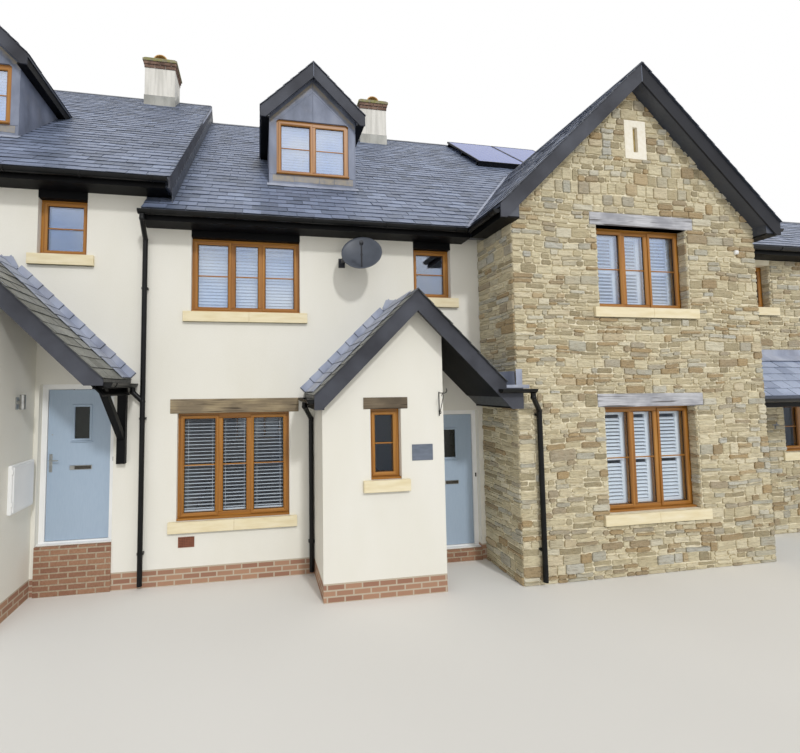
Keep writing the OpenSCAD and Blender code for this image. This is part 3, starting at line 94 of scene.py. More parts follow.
def surface(name, roughness, coats, reliefs=(), **sockets):
    """
    A material made of the real one's patterns. A pattern is the size, detail and stretch of a mottle, or a function
    that draws it. The first coat has its tones, and each further one lies over it by its own tones, in its colour.
    Reliefs come coarse first, each a pattern with its depth in metres.
    """
    material = bpy.data.materials.new(name)
    material.use_nodes = True
    tree = material.node_tree
    shader = tree.nodes["Principled BSDF"]
    for key, value in {"Roughness": roughness, "Metallic": 0.0, "IOR": 1.5, **sockets}.items():
        shader.inputs[key.replace("_", " ")].default_value = value
    drawn = {}

    def pattern(given):
        """Draws a pattern the first time it is asked for, and gives the same one after that."""
        if given not in drawn:
            found = given(tree) if callable(given) else mottle(tree, *given)
            drawn[given] = found.outputs[0] if isinstance(found, bpy.types.Node) else found
        return drawn[given]

    colour = linear("#ffffff")
    for given, *tones in coats:
        blend = tones.pop() if tones and tones[-1] == "MULTIPLY" else "MIX"
        stain = tones.pop() if tones and not isinstance(tones[-1], tuple) else None
        amount = pattern(given) if given else 1.0
        if tones:
            amount = add(tree, "ShaderNodeValToRGB", {0: amount}, tones).outputs["Color"]
        if stain:
            over = pattern(stain) if callable(stain) else linear(stain)
            amount = add(tree, "ShaderNodeMix", {0: amount, 6: colour, 7: over}, data_type="RGBA",
                         blend_type=blend).outputs[2]
        colour = amount
    tree.links.new(colour, shader.inputs["Base Color"])
    under = None
    for given, depth in reliefs:
        over = {"Normal": under} if under else {}
        under = add(tree, "ShaderNodeBump", {"Height": pattern(given), "Distance": depth, **over})
    if under:
        tree.links.new(under.outputs[0], shader.inputs["Normal"])
    return material


def dress(material, *names):
    """Gives CAD nodes a material in all their slots."""
    for name in names:
        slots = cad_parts[name].data.materials
        slots.clear()
        slots.append(material)


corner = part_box("middle_upper_wall")[0]
origin = Vector((corner[0] - 0.300, corner[1], 0))
house_w, step_up = 5.362, 0.451


def at(x, y, z, house=0):
    """A point measured from the party line, the face of the front wall and the foot of the row; house 1 is the left one."""
    return origin + Vector((x - house * house_w, y, z + house * step_up))


def lies(tree, axis):
    """How far each point lies along an axis of the model, in metres."""
    return add(tree, "ShaderNodeSeparateXYZ", {0: add(tree, "ShaderNodeTexCoord").outputs["Object"]}).outputs[axis]


def brickwork(tree, steps=False):
    """Brown bricks in 75 mm courses with 10 mm joints; on the door steps the courses run on over the treads."""
    x, y, z = lies(tree, "X"), lies(tree, "Y"), lies(tree, "Z")
    flat = add(tree, "ShaderNodeCombineXYZ", {0: x, 1: ("ADD", z, y)} if steps else {0: ("ADD", x, y), 1: z})
    return add(tree, "ShaderNodeTexBrick", {
        "Vector": flat, "Color1": linear("#b08a70"), "Color2": linear("#98705c"), "Mortar": linear("#bdb09c"),
        "Scale": 1.0, "Mortar Size": 0.01, "Brick Width": 0.225, "Row Height": 0.075})


def plinth(tree):
    """The foot of a wall, three courses and their joints high."""
    return add(tree, "ShaderNodeMath", {0: lies(tree, "Z"), 1: 0.235}, operation="LESS_THAN")


grit, damp = (0.004, 3), (0.5, 3, (1, 1, 3))
ivory_render = surface("scraped_ivory_render", 0.92, [
    (grit, (0.3, "#e5e2d8"), (0.7, "#f0eee7")), ((1.6,), "#f0eee7"), (damp, "#f5f4ee", "MULTIPLY"), (plinth, brickwork)],
    [(damp, 0.002), (grit, 0.0016)], IOR=1.45)
dress(ivory_render, "left_ground_wall", "left_upper_wall", "middle_ground_wall", "middle_upper_wall",
      "door_head_walls", "left_porch_walls", "middle_porch_walls", "rear_walls", "end_walls", "party_walls")


# Floors. A floated concrete slab on the ground, and floors of tongued boards above it, which
# show only through the windows and doors.
def floor_boards(tree):
    """Softwood boards 140 mm wide and 2.4 m long, with dark open joints."""
    return add(tree, "ShaderNodeTexBrick", {
        "Vector": add(tree, "ShaderNodeTexCoord").outputs["Object"], "Color1": linear("#b08a5c"), "Color2": linear("#9c7648"),
        "Mortar": linear("#3e2c1c"), "Scale": 1.0, "Mortar Size": 0.002, "Brick Width": 2.4, "Row Height": 0.14})


def board_joints(tree):
    """The joints between the floor boards."""
    return floor_boards(tree).outputs["Fac"]


dress(surface("floated_concrete", 0.85, [((0.12, 5), (0.3, "#8b8984"), (0.7, "#a5a29b"))], [((0.01, 4), 0.001)]),
      "ground_floors")
dress(surface("softwood_floor_boards", 0.55, [(floor_boards,), ((0.02, 4, (12, 1, 1)), "#8a6238", "MULTIPLY")],
              [(board_joints, -0.002)]), "first_floors", "attic_floors")


# Stone walls. Sandstone rubble, split and laid flat in rough courses of thin and thick stones,
# bedded in cream lime mortar, whose light joints lie just behind their worn faces.
def own_tone(tree):
    """The tone that each stone, slate or patch of lead was given as it was laid."""
    return add(tree, "ShaderNodeAttribute", attribute_name="tone").outputs["Fac"]


dress(surface("cream_lime_mortar", 0.95, [((0.15, 4), (0.3, "#dbd0b0"), (0.7, "#f4ecd4"))],
              [((0.04, 3), 0.004), ((0.006, 3), 0.002)]), "wing_front_wall", "wing_side_walls", "range_front_wall")
beds, speck = (0.03, 6, (5, 5, 0.7)), (0.01, 4)
sandstone = surface("split_sandstone", 0.9, [
    (own_tone, (0.0, "#93876a"), (0.14, "#bbaf8e"), (0.28, "#d0c5a4"), (0.42, "#dcd2b4"), (0.56, "#c3b797"),
     (0.68, "#b4b2a4"), (0.78, "#9c8766"), (0.86, "#ad946b"), (0.93, "#e0d7bb"), (1.0, "#b8b8b0")),
    ((0.13, 4), (0.48, "#000000"), (0.72, "#707070"), "#b08f5e"),
    (beds, (0.45, "#000000"), (0.72, "#a8a8a8"), "#75684a"),
    (speck, (0.42, "#000000"), (0.75, "#8a8a8a"), "#e6ddc4")],
    [((0.06, 3, (1, 1, 0.5)), 0.022), (beds, 0.018), (speck, 0.005)])


def new_tree(name, inputs):
    """Starts a tree of geometry nodes with its named inputs; None stands for a material."""
    kinds = {float: "NodeSocketFloat", int: "NodeSocketInt", tuple: "NodeSocketVector", type(None): "NodeSocketMaterial"}
    tree = bpy.data.node_groups.new(name, "GeometryNodeTree")
    tree.interface.new_socket("Geometry", in_out="OUTPUT", socket_type="NodeSocketGeometry")
    tree.interface.new_socket("Geometry", in_out="INPUT", socket_type="NodeSocketGeometry")
    for label, value in inputs.items():
        socket = tree.interface.new_socket(label, in_out="INPUT", socket_type=kinds[type(value)])
        if value is not None:
            socket.default_value = value
    return tree, add(tree, "NodeGroupInput").outputs


def end_tree(tree, geometry, material):
    """Closes a tree: whatever it made becomes real mesh with its material."""
    real = add(tree, "GeometryNodeRealizeInstances", {0: geometry})
    add(tree, "NodeGroupOutput", {0: add(tree, "GeometryNodeSetMaterial", {"Geometry": real, "Material": material})})


def plain(obj):
    """Turns an object's modifiers into its own mesh."""
    graph = bpy.context.evaluated_depsgraph_get()
    mesh = bpy.data.meshes.new_from_object(obj.evaluated_get(graph), depsgraph=graph)
    obj.modifiers.clear()
    obj.data = mesh
    return obj


def meshed(name, bm):
    """Closes mesh code that is being worked on and hands over its mesh."""
    mesh = bpy.data.meshes.new(name)
    bm.normal_update()
    bm.to_mesh(mesh)
    bm.free()
    return mesh


def placed(name, data):
    """Puts a mesh, a lamp or a camera into the scene as an object."""
    obj = bpy.data.objects.new(name, data)
    bpy.context.scene.collection.objects.link(obj)
    return obj


def grown(name, tree, values, base=None):
    """An object that a tree makes from its named values, and from a base mesh if it needs one."""
    obj = placed(name, base or bpy.data.meshes.new(name))
    modifier = obj.modifiers.new(name, "NODES")
    modifier.node_group = tree
    for item in tree.interface.items_tree:
        if item.in_out == "INPUT" and item.name in values:
            modifier[item.identifier] = values[item.name]
    mesh = plain(obj).data
    finish_given = mesh.materials[-1]
    mesh.materials.clear()
    mesh.materials.append(finish_given)
    return obj


def ready(obj, body="house"):
    """A finished piece rides on its body."""
    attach(obj, body)
    return obj


def stone_tree():
    """Raises each flat outline into a stone with worn edges and a split, uneven face."""
    tree, given = new_tree("rubble_stones", {"Proud": 0.005, "Uneven": 0.016, "Wear": 0.9, "Seed": 0, "Stone": None})
    marked = add(tree, "GeometryNodeStoreNamedAttribute", {
        "Geometry": given["Geometry"], "Name": "tone",
        "Value": add(tree, "FunctionNodeRandomValue", {"Seed": given["Seed"]}).outputs[1]},
        data_type="FLOAT", domain="FACE")
    backs = add(tree, "GeometryNodeFlipFaces", {0: marked})
    depth = add(tree, "FunctionNodeRandomValue", {
        2: given["Proud"], 3: ("ADD", given["Proud"], given["Uneven"]), "Seed": given["Seed"]}).outputs[1]
    raised = add(tree, "GeometryNodeExtrudeMesh", {"Mesh": marked, "Offset Scale": depth, "Individual": True})
    worn = add(tree, "GeometryNodeExtrudeMesh", {
        "Mesh": raised, "Selection": raised.outputs[1], "Offset Scale": 0.006, "Individual": True})
    small = add(tree, "GeometryNodeScaleElements", {"Geometry": worn, "Selection": worn.outputs[1], "Scale": given["Wear"]})
    whole = add(tree, "GeometryNodeJoinGeometry", {0: backs})
    tree.links.new(small.outputs[0], whole.inputs[0])
    closed = add(tree, "GeometryNodeMergeByDistance", {"Geometry": whole, "Distance": 0.0002})
    end_tree(tree, closed, given["Stone"])
    return tree


def courses(rng, outline, holes, squarer_from):
    """Sets out flat stones as boxes (left, foot, right, top) in courses between the levels of the openings."""
    xs, zs = [p[0] for p in outline], [p[1] for p in outline]
    levels = sorted({min(zs), max(zs), *[z for h in holes for z in (h[1], h[3]) if min(zs) < z < max(zs)]})
    found = []
    for low, high in zip(levels, levels[1:]):
        z = low
        while z < high - 0.001:
            blocky = z > squarer_from
            step = rng.uniform(0.10, 0.19) if blocky else rng.uniform(0.065, 0.16)
            top = high if high - z - step < 0.045 else z + step
            middle = (z + top) / 2
            cuts = sorted({min(xs), max(xs), *[x for h in holes if h[1] < middle < h[3] for x in (h[0], h[2])]})
            for left, right in zip(cuts, cuts[1:]):
                if any(h[1] < middle < h[3] and h[0] < (left + right) / 2 < h[2] for h in holes):
                    continue
                x = left
                while x < right - 0.001:
                    stretch = min(right - x, rng.uniform(0.35, 0.9))
                    stretch = right - x if right - x - stretch < 0.1 else stretch
                    thick = top - z
                    layers = 1 if thick < (0.16 if blocky else 0.10) or rng.random() < 0.3 else 2
                    split = z + thick * rng.uniform(0.4, 0.6)
                    for foot, head in ([(z, top)] if layers == 1 else [(z, split), (split, top)]):
                        at_x = x
                        while at_x < x + stretch - 0.001:
                            length = rng.uniform(0.11, 0.25) if blocky else rng.uniform(0.12, 0.36)
                            end = x + stretch if x + stretch - at_x - length < 0.075 else at_x + length
                            found.append((at_x, foot, end, head))
                            at_x = end
                    x += stretch
            z = top
    return found


def clear_of(p, outline, holes):
    """Distance from a point of a patch to the nearest edge of its outline or openings."""
    rims = [tuple(a) + tuple(b) for a, b in zip(outline, outline[1:] + outline[:1])]
    for x0, z0, x1, z1 in holes:
        rims += [(x0, z0, x1, z0), (x1, z0, x1, z1), (x1, z1, x0, z1), (x0, z1, x0, z0)]
    best = 9.0
    for ax, az, bx, bz in rims:
        dx, dz = bx - ax, bz - az
        t = max(0.0, min(1.0, ((p[0] - ax) * dx + (p[1] - az) * dz) / (dx * dx + dz * dz)))
        best = min(best, math.hypot(p[0] - ax - t * dx, p[1] - az - t * dz))
    return best


def stones(name, spot, across, up, outline, holes, seed, joint=0.014, squarer_from=5.3):
    """Lays stones over a flat patch of wall, from its outline and its openings, all in the patch's own metres."""
    rng = random.Random(seed)
    bm = bmesh.new()
    gap = joint / 2
    for x0, z0, x1, z1 in courses(rng, outline, holes, squarer_from):
        x0, z0, x1, z1 = x0 + gap, z0 + gap, x1 - gap, z1 - gap
        wide, tall = x1 - x0, z1 - z0
        if wide < 0.03 or tall < 0.012:
            continue
        worn = [min(0.45 * tall, 0.024) * rng.uniform(0.15, 1) for _ in range(8)]
        bulge = [gap * rng.uniform(-1.6, 0.9) for _ in range(4)]
        peaks = [x0 + wide * rng.uniform(0.35, 0.65) for _ in range(2)]
        shape = [(x0 + worn[0], z0), (peaks[0], z0 - bulge[0]), (x1 - worn[1], z0), (x1 + bulge[1] / 2, z0 + worn[2]),
                 (x1, z1 - worn[3]), (x1 - worn[4], z1), (peaks[1], z1 + bulge[2]), (x0 + worn[5], z1),
                 (x0 - bulge[3] / 2, z1 - worn[6]), (x0, z0 + worn[7])]
        for a, b in zip(outline, outline[1:] + outline[:1]):
            run = math.hypot(b[0] - a[0], b[1] - a[1])
            kept = []
            for p, q in zip(shape, shape[1:] + shape[:1]):
                dp, dq = [((b[0] - a[0]) * (s[1] - a[1]) - (b[1] - a[1]) * (s[0] - a[0])) / run - gap / 2 for s in (p, q)]
                if dp >= 0:
                    kept.append(p)
                if (dp > 0) != (dq > 0):
                    t = dp / (dp - dq)
                    kept.append((p[0] + (q[0] - p[0]) * t, p[1] + (q[1] - p[1]) * t))
            shape = kept
        size = sum(a[0] * b[1] - b[0] * a[1] for a, b in zip(shape, shape[1:] + shape[:1])) / 2 if len(shape) > 2 else 0
        if size < 0.0007:
            continue
        middle = (sum(p[0] for p in shape) / len(shape), sum(p[1] for p in shape) / len(shape))
        free = min(1.0, max(0.0, clear_of(middle, outline, holes) - wide / 2) / 0.25)
        spots = []
        for x, z in shape:
            wave = 0.016 * math.sin(2.1 * x + 1.3 * z + seed) + 0.010 * math.sin(5.3 * x - 2.9 * z)
            spots.append(spot + across * x + up * (z + wave * free))
        bm.faces.new([bm.verts.new(p) for p in spots])
    bmesh.ops.remove_doubles(bm, verts=bm.verts, dist=0.0005)
    return ready(grown(name, stone_maker, {"Seed": seed, "Stone": sandstone}, meshed(name, bm)))


stone_maker = stone_tree()
right, back, high = Vector((1, 0, 0)), Vector((0, 1, 0)), Vector((0, 0, 1))
wing_x, wing_right, wing_face, stone_reveal = 5.065, 9.234, -0.903, 0.135
wing_ridge, wing_top, wing_slope, wing_half = 7.130, 7.412, math.tan(math.radians(44)), 2.350


def under_wing(x):
    """Height of the underside of the wing's roof over a place on its front."""
    return wing_top - wing_slope * abs(x - wing_ridge) - 0.278


def oblong(x0, z0, x1, z1):
    """A rectangle from its low and its high corner."""
    return [(x0, z0), (x1, z0), (x1, z1), (x0, z1)]


wrap, range_end = 0.012, 14.6
stones("gable_stones", at(0, wing_face, 0), right, high,
       [(wing_x - wrap, 0), (wing_right + wrap, 0), (wing_right + wrap, under_wing(wing_right)),
        (wing_ridge, under_wing(wing_ridge)), (wing_x - wrap, under_wing(wing_x))],
       [(6.420, 0.710, 7.992, 2.550), (6.420, 3.650, 7.992, 5.210), (6.314, 0.710, 8.098, 0.860),
        (6.314, 3.650, 8.098, 3.800), (6.314, 2.360, 8.098, 2.550), (6.314, 5.020, 8.098, 5.210),
        (6.984, 6.067, 7.356, 6.667)], 11)
stones("wing_left_stones", at(wing_x, 0, 0), -back, high, oblong(0, 0, wrap - wing_face, 5.05), [], 12)
stones("wing_right_stones", at(wing_right, wing_face, 0), back, high, oblong(-wrap, 0, -wing_face, 4.95), [], 13)
stones("range_stones", at(0, 0, 0), right, high, oblong(wing_right, 0, range_end, 4.95),
       [(9.660, 0, 10.592, 2.299), (10.300, 3.930, 10.921, 4.950), (10.200, 3.916, 11.027, 4.066),
        (11.000, 1.280, 12.559, 2.310), (12.100, 3.624, 13.659, 4.868)], 14)
stone_openings = [
    (6.420, 7.992, 0.860, 2.360, wing_face), (6.420, 7.992, 3.800, 5.020, wing_face), (11.000, 12.559, 1.430, 2.310, 0),
    (12.100, 13.659, 3.774, 4.868, 0), (10.300, 10.921, 4.066, 4.861, 0)]
for i, (x0, x1, z0, z1, face) in enumerate(stone_openings):
    box = oblong(0, z0, stone_reveal, z1)
    stones(f"reveal_stones_{i}_right", at(x1, face + stone_reveal, 0), -back, high, box, [], 60 + i, squarer_from=9)
    stones(f"reveal_stones_{i}_left", at(x0, face, 0), back, high, box, [], 70 + i, squarer_from=9)


# Slated roofs. Natural slates, riven about 9 mm thick, 255 mm wide and laid to a 180 mm gauge,
# each course breaking joint with the one below and nailed so that its tail rides up on it.
# They are cut along the valleys and round the dormers and chimneys, with slate ridge pieces.
def painted_shade_by_facing(start, end, most):
    """A mask for painted shade that follows how far up a face looks: nothing at the start of a range, the most at its
    end.
    """
    def drawn(tree):
        """Compares the height of each point's own normal with that range."""
        rise = add(tree, "ShaderNodeSeparateXYZ", {0: add(tree, "ShaderNodeNewGeometry").outputs["Normal"]}).outputs["Z"]
        return add(tree, "ShaderNodeMapRange", {0: rise, 1: start, 2: end, 3: 0.0, 4: most})
    return drawn


def slating(name, shades, bloom, veil):
    """Riven slate: a shade for each slate, a bloom of weather over many of them, dark splits, and painted shade on the
    tails and side edges, whose faces do not look up.
    """
    riven = (0.035, 5)
    material = surface(name, 0.5, [
        (own_tone, *zip((0.0, 0.25, 0.5, 0.75, 1.0), shades)), ((0.7, 4), (0.35, "#000000"), (0.8, veil), bloom),
        # The last coat darkens the tails and side edges of the slates as painted shade.
        (riven, (0.45, "#000000"), (0.75, "#606060"), "#454a58"), (painted_shade_by_facing(0.60, 0.45, 0.75), "#22252d")],
        [(riven, 0.004)], Specular_IOR_Level=0.8)
    tree = material.node_tree
    worn = add(tree, "ShaderNodeValToRGB", {0: mottle(tree, *riven)}, ((0.3, "#a0a0a0"), (0.7, "#c4c4c4")))
    tree.links.new(worn.outputs["Color"], tree.nodes["Principled BSDF"].inputs["Roughness"])
    return material


slate = slating("riven_blue_slate", ("#505b70", "#667189", "#737f99", "#6b768f", "#8592ad"), "#99a7c4", "#6c6c6c")
olive_slate = slating("lichened_porch_slate", ("#55564f", "#6c6d66", "#7b7c76", "#70726f", "#8d8e87"), "#8a8a78", "#5a5a5a")
# The canopy's slates are a lighter copy of the same slate, painted lighter as painted sunlight.
painted_sunlit_slate = slating("canopy_slate_painted_lighter", ("#8591ab", "#98a4bd", "#a5b1ca", "#9da9c1", "#b5c0d6"), "#bec9df", "#707070")
dress(slate, "left_roof", "middle_roof", "wing_roof", "range_roof", "dormer_roofs")
dress(painted_sunlit_slate, "canopy_roof")
dress(olive_slate, "porch_roofs")


def slate_tree():
    """Lays courses of slates over a slope from its length along the eaves and up to the ridge."""
    tree, given = new_tree("slate_courses", {
        "Length": 1.0, "Slope": 1.0, "Slate Width": 0.255, "Gauge": 0.180, "Lap": 0.030, "Thickness": 0.009, "Seed": 0,
        "Slate": None})
    across = add(tree, "ShaderNodeMath", {0: ("CEIL", ("DIVIDE", given["Length"], given["Slate Width"])), 1: 2.0}).outputs[0]
    courses = ("CEIL", ("DIVIDE", given["Slope"], given["Gauge"]))
    spots = add(tree, "GeometryNodePoints", {"Count": ("MULTIPLY", across, courses)})
    index = add(tree, "GeometryNodeInputIndex").outputs[0]
    course = add(tree, "ShaderNodeMath", {0: ("DIVIDE", ("ADD", index, 0.5), across)}, operation="FLOOR").outputs[0]
    column = ("SUBTRACT", index, ("MULTIPLY", course, across))
    shift = ("MULTIPLY", ("MODULO", course, 2.0), 0.5)
    length = ("ADD", given["Gauge"], given["Lap"])
    place = add(tree, "ShaderNodeCombineXYZ", {
        0: ("MULTIPLY", ("SUBTRACT", ("ADD", column, shift), 0.25), given["Slate Width"]),
        1: ("ADD", ("MULTIPLY", course, given["Gauge"]), ("MULTIPLY", length, 0.5)),
        2: ("MULTIPLY", given["Thickness"], 0.75)})
    uneven = add(tree, "FunctionNodeRandomValue", {
        0: (-0.004, -0.006, -0.0015), 1: (0.004, 0.004, 0.0025), "Seed": given["Seed"]}, data_type="FLOAT_VECTOR")
    laid = add(tree, "GeometryNodeSetPosition", {
        "Geometry": spots, "Position": add(tree, "ShaderNodeVectorMath", {0: place, 1: uneven})})
    size = add(tree, "ShaderNodeCombineXYZ", {0: ("SUBTRACT", given["Slate Width"], 0.005), 1: length, 2: given["Thickness"]})
    skew = add(tree, "FunctionNodeRandomValue", {
        0: (-0.006, -0.012, -0.010), 1: (0.006, 0.012, 0.010), "Seed": ("ADD", given["Seed"], 7.0)}, data_type="FLOAT_VECTOR")
    rise = add(tree, "ShaderNodeCombineXYZ", {0: ("MULTIPLY", ("DIVIDE", given["Thickness"], given["Gauge"]), -1.0)})
    hung = add(tree, "GeometryNodeInstanceOnPoints", {
        "Points": laid, "Instance": add(tree, "GeometryNodeMeshCube", {"Size": size}),
        "Rotation": add(tree, "ShaderNodeVectorMath", {0: rise, 1: skew})})
    marked = add(tree, "GeometryNodeStoreNamedAttribute", {
        0: hung, "Name": "tone", "Value": add(tree, "FunctionNodeRandomValue", {"Seed": given["Seed"]}).outputs[1]},
        data_type="FLOAT", domain="INSTANCE")
    end_tree(tree, marked, given["Slate"])
    return tree


def slab(bm, outline, run):
    """A closed slab from a flat outline and the vector it is pushed along."""
    low = [bm.verts.new(p) for p in outline]
    top = [bm.verts.new(Vector(p) + run) for p in outline]
    faces = [bm.faces.new(low[::-1]), bm.faces.new(top)]
    for i in range(len(low)):
        j = (i + 1) % len(low)
        faces.append(bm.faces.new([low[i], low[j], top[j], top[i]]))
    bmesh.ops.recalc_face_normals(bm, faces=faces)
    return faces


def prism(outline, run):
    """A slab by itself, for cutting with."""
    bm = bmesh.new()
    slab(bm, outline, run)
    return placed("cutter", meshed("cutter", bm))


def cut(obj, *solids, keep=False):
    """Cuts solids out of a piece, or keeps only what lies inside them."""
    own = obj.data.materials[0]
    for solid in solids:
        saw = obj.modifiers.new("saw", "BOOLEAN")
        saw.operation = "INTERSECT" if keep else "DIFFERENCE"
        saw.solver = "MANIFOLD"
        saw.object = solid
        plain(obj)
        obj.data.materials.clear()
        obj.data.materials.append(own)
        bpy.data.objects.remove(solid)
    return obj


slate_maker = slate_tree()


def slates(name, eaves, along, up, length, slope, seed, cutters=(), width=0.255, kind=slate):
    """Slates one slope, from the low corner where its courses start."""
    covering = grown(name, slate_maker, {
        "Length": length, "Slope": slope, "Seed": seed, "Slate": kind, "Slate Width": width})
    cut(covering, prism([(x, y, -0.02) for x, y in oblong(0, 0, length, slope)], high * 0.08), keep=True)
    along, up = along.normalized(), up.normalized()
    turn = Matrix((along, up, along.cross(up))).transposed().to_4x4()
    covering.data.transform(Matrix.Translation(eaves) @ turn)
    cut(covering, *cutters)
    return ready(covering)


def slant(run, degrees):
    """Length up a slope over a level run."""
    return run / math.cos(math.radians(degrees))


pitch = math.tan(math.radians(42))
depth, tip, eaves_z, ridge_y, ridge_z = 9.254, 0.310, 5.389, 4.627, 9.571
front_up, rear_up = Vector((0, 1, pitch)), Vector((0, -1, pitch))
rafters = slant(ridge_y + tip, 42)
tip_z = eaves_z - pitch * tip
verge_x, dormer_x, dormer_top, dormer_half = 0.366, 2.495, 8.288, 0.907
porch_x, porch_top, porch_deep, porch_reach = 3.597, 3.938, 1.075, (1.216, 1.593)
stack_x0, stack_x1, stack_y0, stack_y1 = 4.207, 4.910, 4.09, 4.69


def main_z(y):
    """Height of the main slates over a depth from the front wall."""
    return eaves_z + pitch * y


def dormer_block(house):
    """The room of a dormer with its roof, which the main slates are cut round."""
    top = dormer_top + 0.02
    shape = [(1.738, 5.0), (3.252, 5.0), (3.252, 7.262), (3.402, 7.262), (3.402, top - 0.876), (dormer_x, top),
             (1.588, top - 0.876), (1.588, 7.262), (1.738, 7.262)]
    return prism([at(x, 0.815, z, house) for x, z in shape], back * 3.0)


def chimney_block(house):
    """A chimney stack, over its whole height."""
    return prism([at(x, y, 8.0, house) for x, y in oblong(stack_x0, stack_y0, stack_x1, stack_y1)], high * 2)


def wing_block(margin):
    """Everything below the wing's slates, raised by a margin for the lead of the valleys."""
    out, top = 2.6, wing_top + margin
    shape = [(-out, 4.0), (out, 4.0), (out, top - wing_slope * out), (0, top), (-out, top - wing_slope * out)]
    return prism([at(wing_ridge + x, -1.3, z) for x, z in shape], back * 4.6)


def below_main(margin, house=0):
    """Everything below the main slates, raised by a margin."""
    shape = [(-1.3, 3.0), (ridge_y, 3.0), (ridge_y, main_z(ridge_y) + margin), (-1.3, main_z(-1.3) + margin)]
    return prism([at(-1, y, z, house) for y, z in shape], right * 12)


def beyond_verge(near, run):
    """The end of the left house, where its roof stands one step higher."""
    return prism([at(x, near, z) for x, z in oblong(-1, 4.5, verge_x, 12)], back * run)


for house, name, wide, seed in ((1, "left", 5.728, 20), (0, "main", 9.920, 21)):
    others = [] if house else [wing_block(0.055), beyond_verge(-0.001, 11)]
    slates(f"{name}_slates", at(0, -tip, tip_z, house), right, front_up, wide, rafters, seed,
           [dormer_block(house), chimney_block(house), *others])
    others = [] if house else [beyond_verge(4.7, depth - 4.7)]
    slates(f"{name}_rear_slates", at(wide, depth + tip, tip_z, house), -right, rear_up, wide, rafters, seed + 4,
           [chimney_block(house), *others])
    for side, hand in ((-1, "left"), (1, "right")):
        low = at(dormer_x + side * dormer_half, 3.3 if side < 0 else 0.660, dormer_top - wing_slope * dormer_half, house)
        slates(f"dormer_slates_{house}_{hand}", low, back * side, Vector((-side, 0, wing_slope)), 2.64,
               slant(dormer_half, 44), seed + 10 + side, [below_main(0.02, house)], 0.2)
    for side, hand, out in ((-1, "left", 1.364), (1, "right", porch_reach[house])):
        low = at(porch_x + side * out, 0 if side < 0 else -porch_deep, porch_top - out, house)
        slates(f"porch_slates_{house}_{hand}", low, back * side, Vector((-side, 0, 1)), porch_deep, out * math.sqrt(2),
               seed + 15 + side, kind=olive_slate)
for side, hand in ((-1, "left"), (1, "right")):
    low = at(wing_ridge + side * wing_half, 2.6 if side < 0 else -1.135, wing_top - wing_slope * wing_half)
    slates(f"wing_slates_{hand}", low, back * side, Vector((-side, 0, wing_slope)), 3.735, slant(wing_half, 44), 40 + side,
           [below_main(0.05)])
range_up, range_half = math.tan(math.radians(36)), 1.94
main_end = [(-0.5, 4.6), (0.0, 4.85), (ridge_y, main_z(ridge_y) - 0.269), (ridge_y, 12), (-0.5, 12)]
slates("range_slates", at(9.64, -tip, tip_z), right, Vector((0, 1, range_up)), 4.96, slant(range_half, 36), 44,
       [prism([at(9.0, y, z) for y, z in main_end], right * 0.92)])
slates("range_rear_slates", at(range_end, 3.26 + tip, tip_z), -right, Vector((0, -1, range_up)), 4.96,
       slant(range_half, 36), 45)
slates("canopy_slates", at(wing_right, -0.8, 2.470), right, Vector((0, 0.8, 0.71)), 5.366, math.hypot(0.8, 0.71), 46,
       kind=painted_sunlit_slate)


def ridge_tree():
    """Lays angled ridge pieces end to end along a line, with a hair of mortar between them."""
    tree, given = new_tree("ridge_pieces", {
        "Length": 1.0, "Piece": 0.45, "Wing": 0.15, "Pitch": 0.733, "Thickness": 0.013, "Tile": None})
    pieces = ("CEIL", ("DIVIDE", given["Length"], given["Piece"]))
    step = add(tree, "ShaderNodeMath", {0: given["Length"], 1: pieces}, operation="DIVIDE").outputs[0]
    line = add(tree, "GeometryNodeMeshLine", {
        "Count": pieces, "Start Location": add(tree, "ShaderNodeCombineXYZ", {0: ("MULTIPLY", step, 0.5)}),
        "Offset": add(tree, "ShaderNodeCombineXYZ", {0: step})}, mode="OFFSET")
    size = add(tree, "ShaderNodeCombineXYZ", {0: ("SUBTRACT", step, 0.007), 1: given["Wing"], 2: given["Thickness"]})
    blade = add(tree, "GeometryNodeMeshCube", {"Size": size})
    both = add(tree, "GeometryNodeJoinGeometry")
    for sign in (1.0, -1.0):
        out = add(tree, "ShaderNodeCombineXYZ", {1: ("MULTIPLY", given["Wing"], 0.485 * sign)})
        moved = add(tree, "GeometryNodeTransform", {"Geometry": blade, "Translation": out})
        lean = add(tree, "ShaderNodeCombineXYZ", {0: ("MULTIPLY", given["Pitch"], -sign)})
        tree.links.new(add(tree, "GeometryNodeTransform", {"Geometry": moved, "Rotation": lean}).outputs[0], both.inputs[0])
    uneven = add(tree, "FunctionNodeRandomValue", {0: (-0.006, -0.006, -0.006), 1: (0.006, 0.006, 0.006), "Seed": 4},
                 data_type="FLOAT_VECTOR")
    laid = add(tree, "GeometryNodeInstanceOnPoints", {"Points": line, "Instance": both, "Rotation": uneven})
    end_tree(tree, laid, given["Tile"])
    return tree


ridge_tile = surface("blue_black_ridge_tile", 0.55, [((0.3, 4), (0.3, "#3d424c"), (0.7, "#5b616d"))], [((0.008, 3), 0.001)])
ridge_maker = ridge_tree()
ridges = [
    (at(0.02, ridge_y, ridge_z, 1), right, 4.17, 42, 0.16), (at(4.92, ridge_y, ridge_z, 1), right, 0.79, 42, 0.16),
    (at(verge_x, ridge_y, ridge_z), right, 3.83, 42, 0.16), (at(4.92, ridge_y, ridge_z), right, 4.98, 42, 0.16),
    (at(wing_ridge, -1.13, wing_top + 0.016), back, 3.37, 44, 0.16),
    (at(10.0, 1.63, tip_z + range_half * range_up + 0.014), right, 4.58, 36, 0.15),
    *[(at(dormer_x, 0.665, dormer_top + 0.014, house), back, 2.52, 44, 0.12) for house in (0, 1)],
    *[(at(porch_x, -1.07, porch_top + 0.014, house), back, 1.07, 45, 0.12) for house in (0, 1)]]
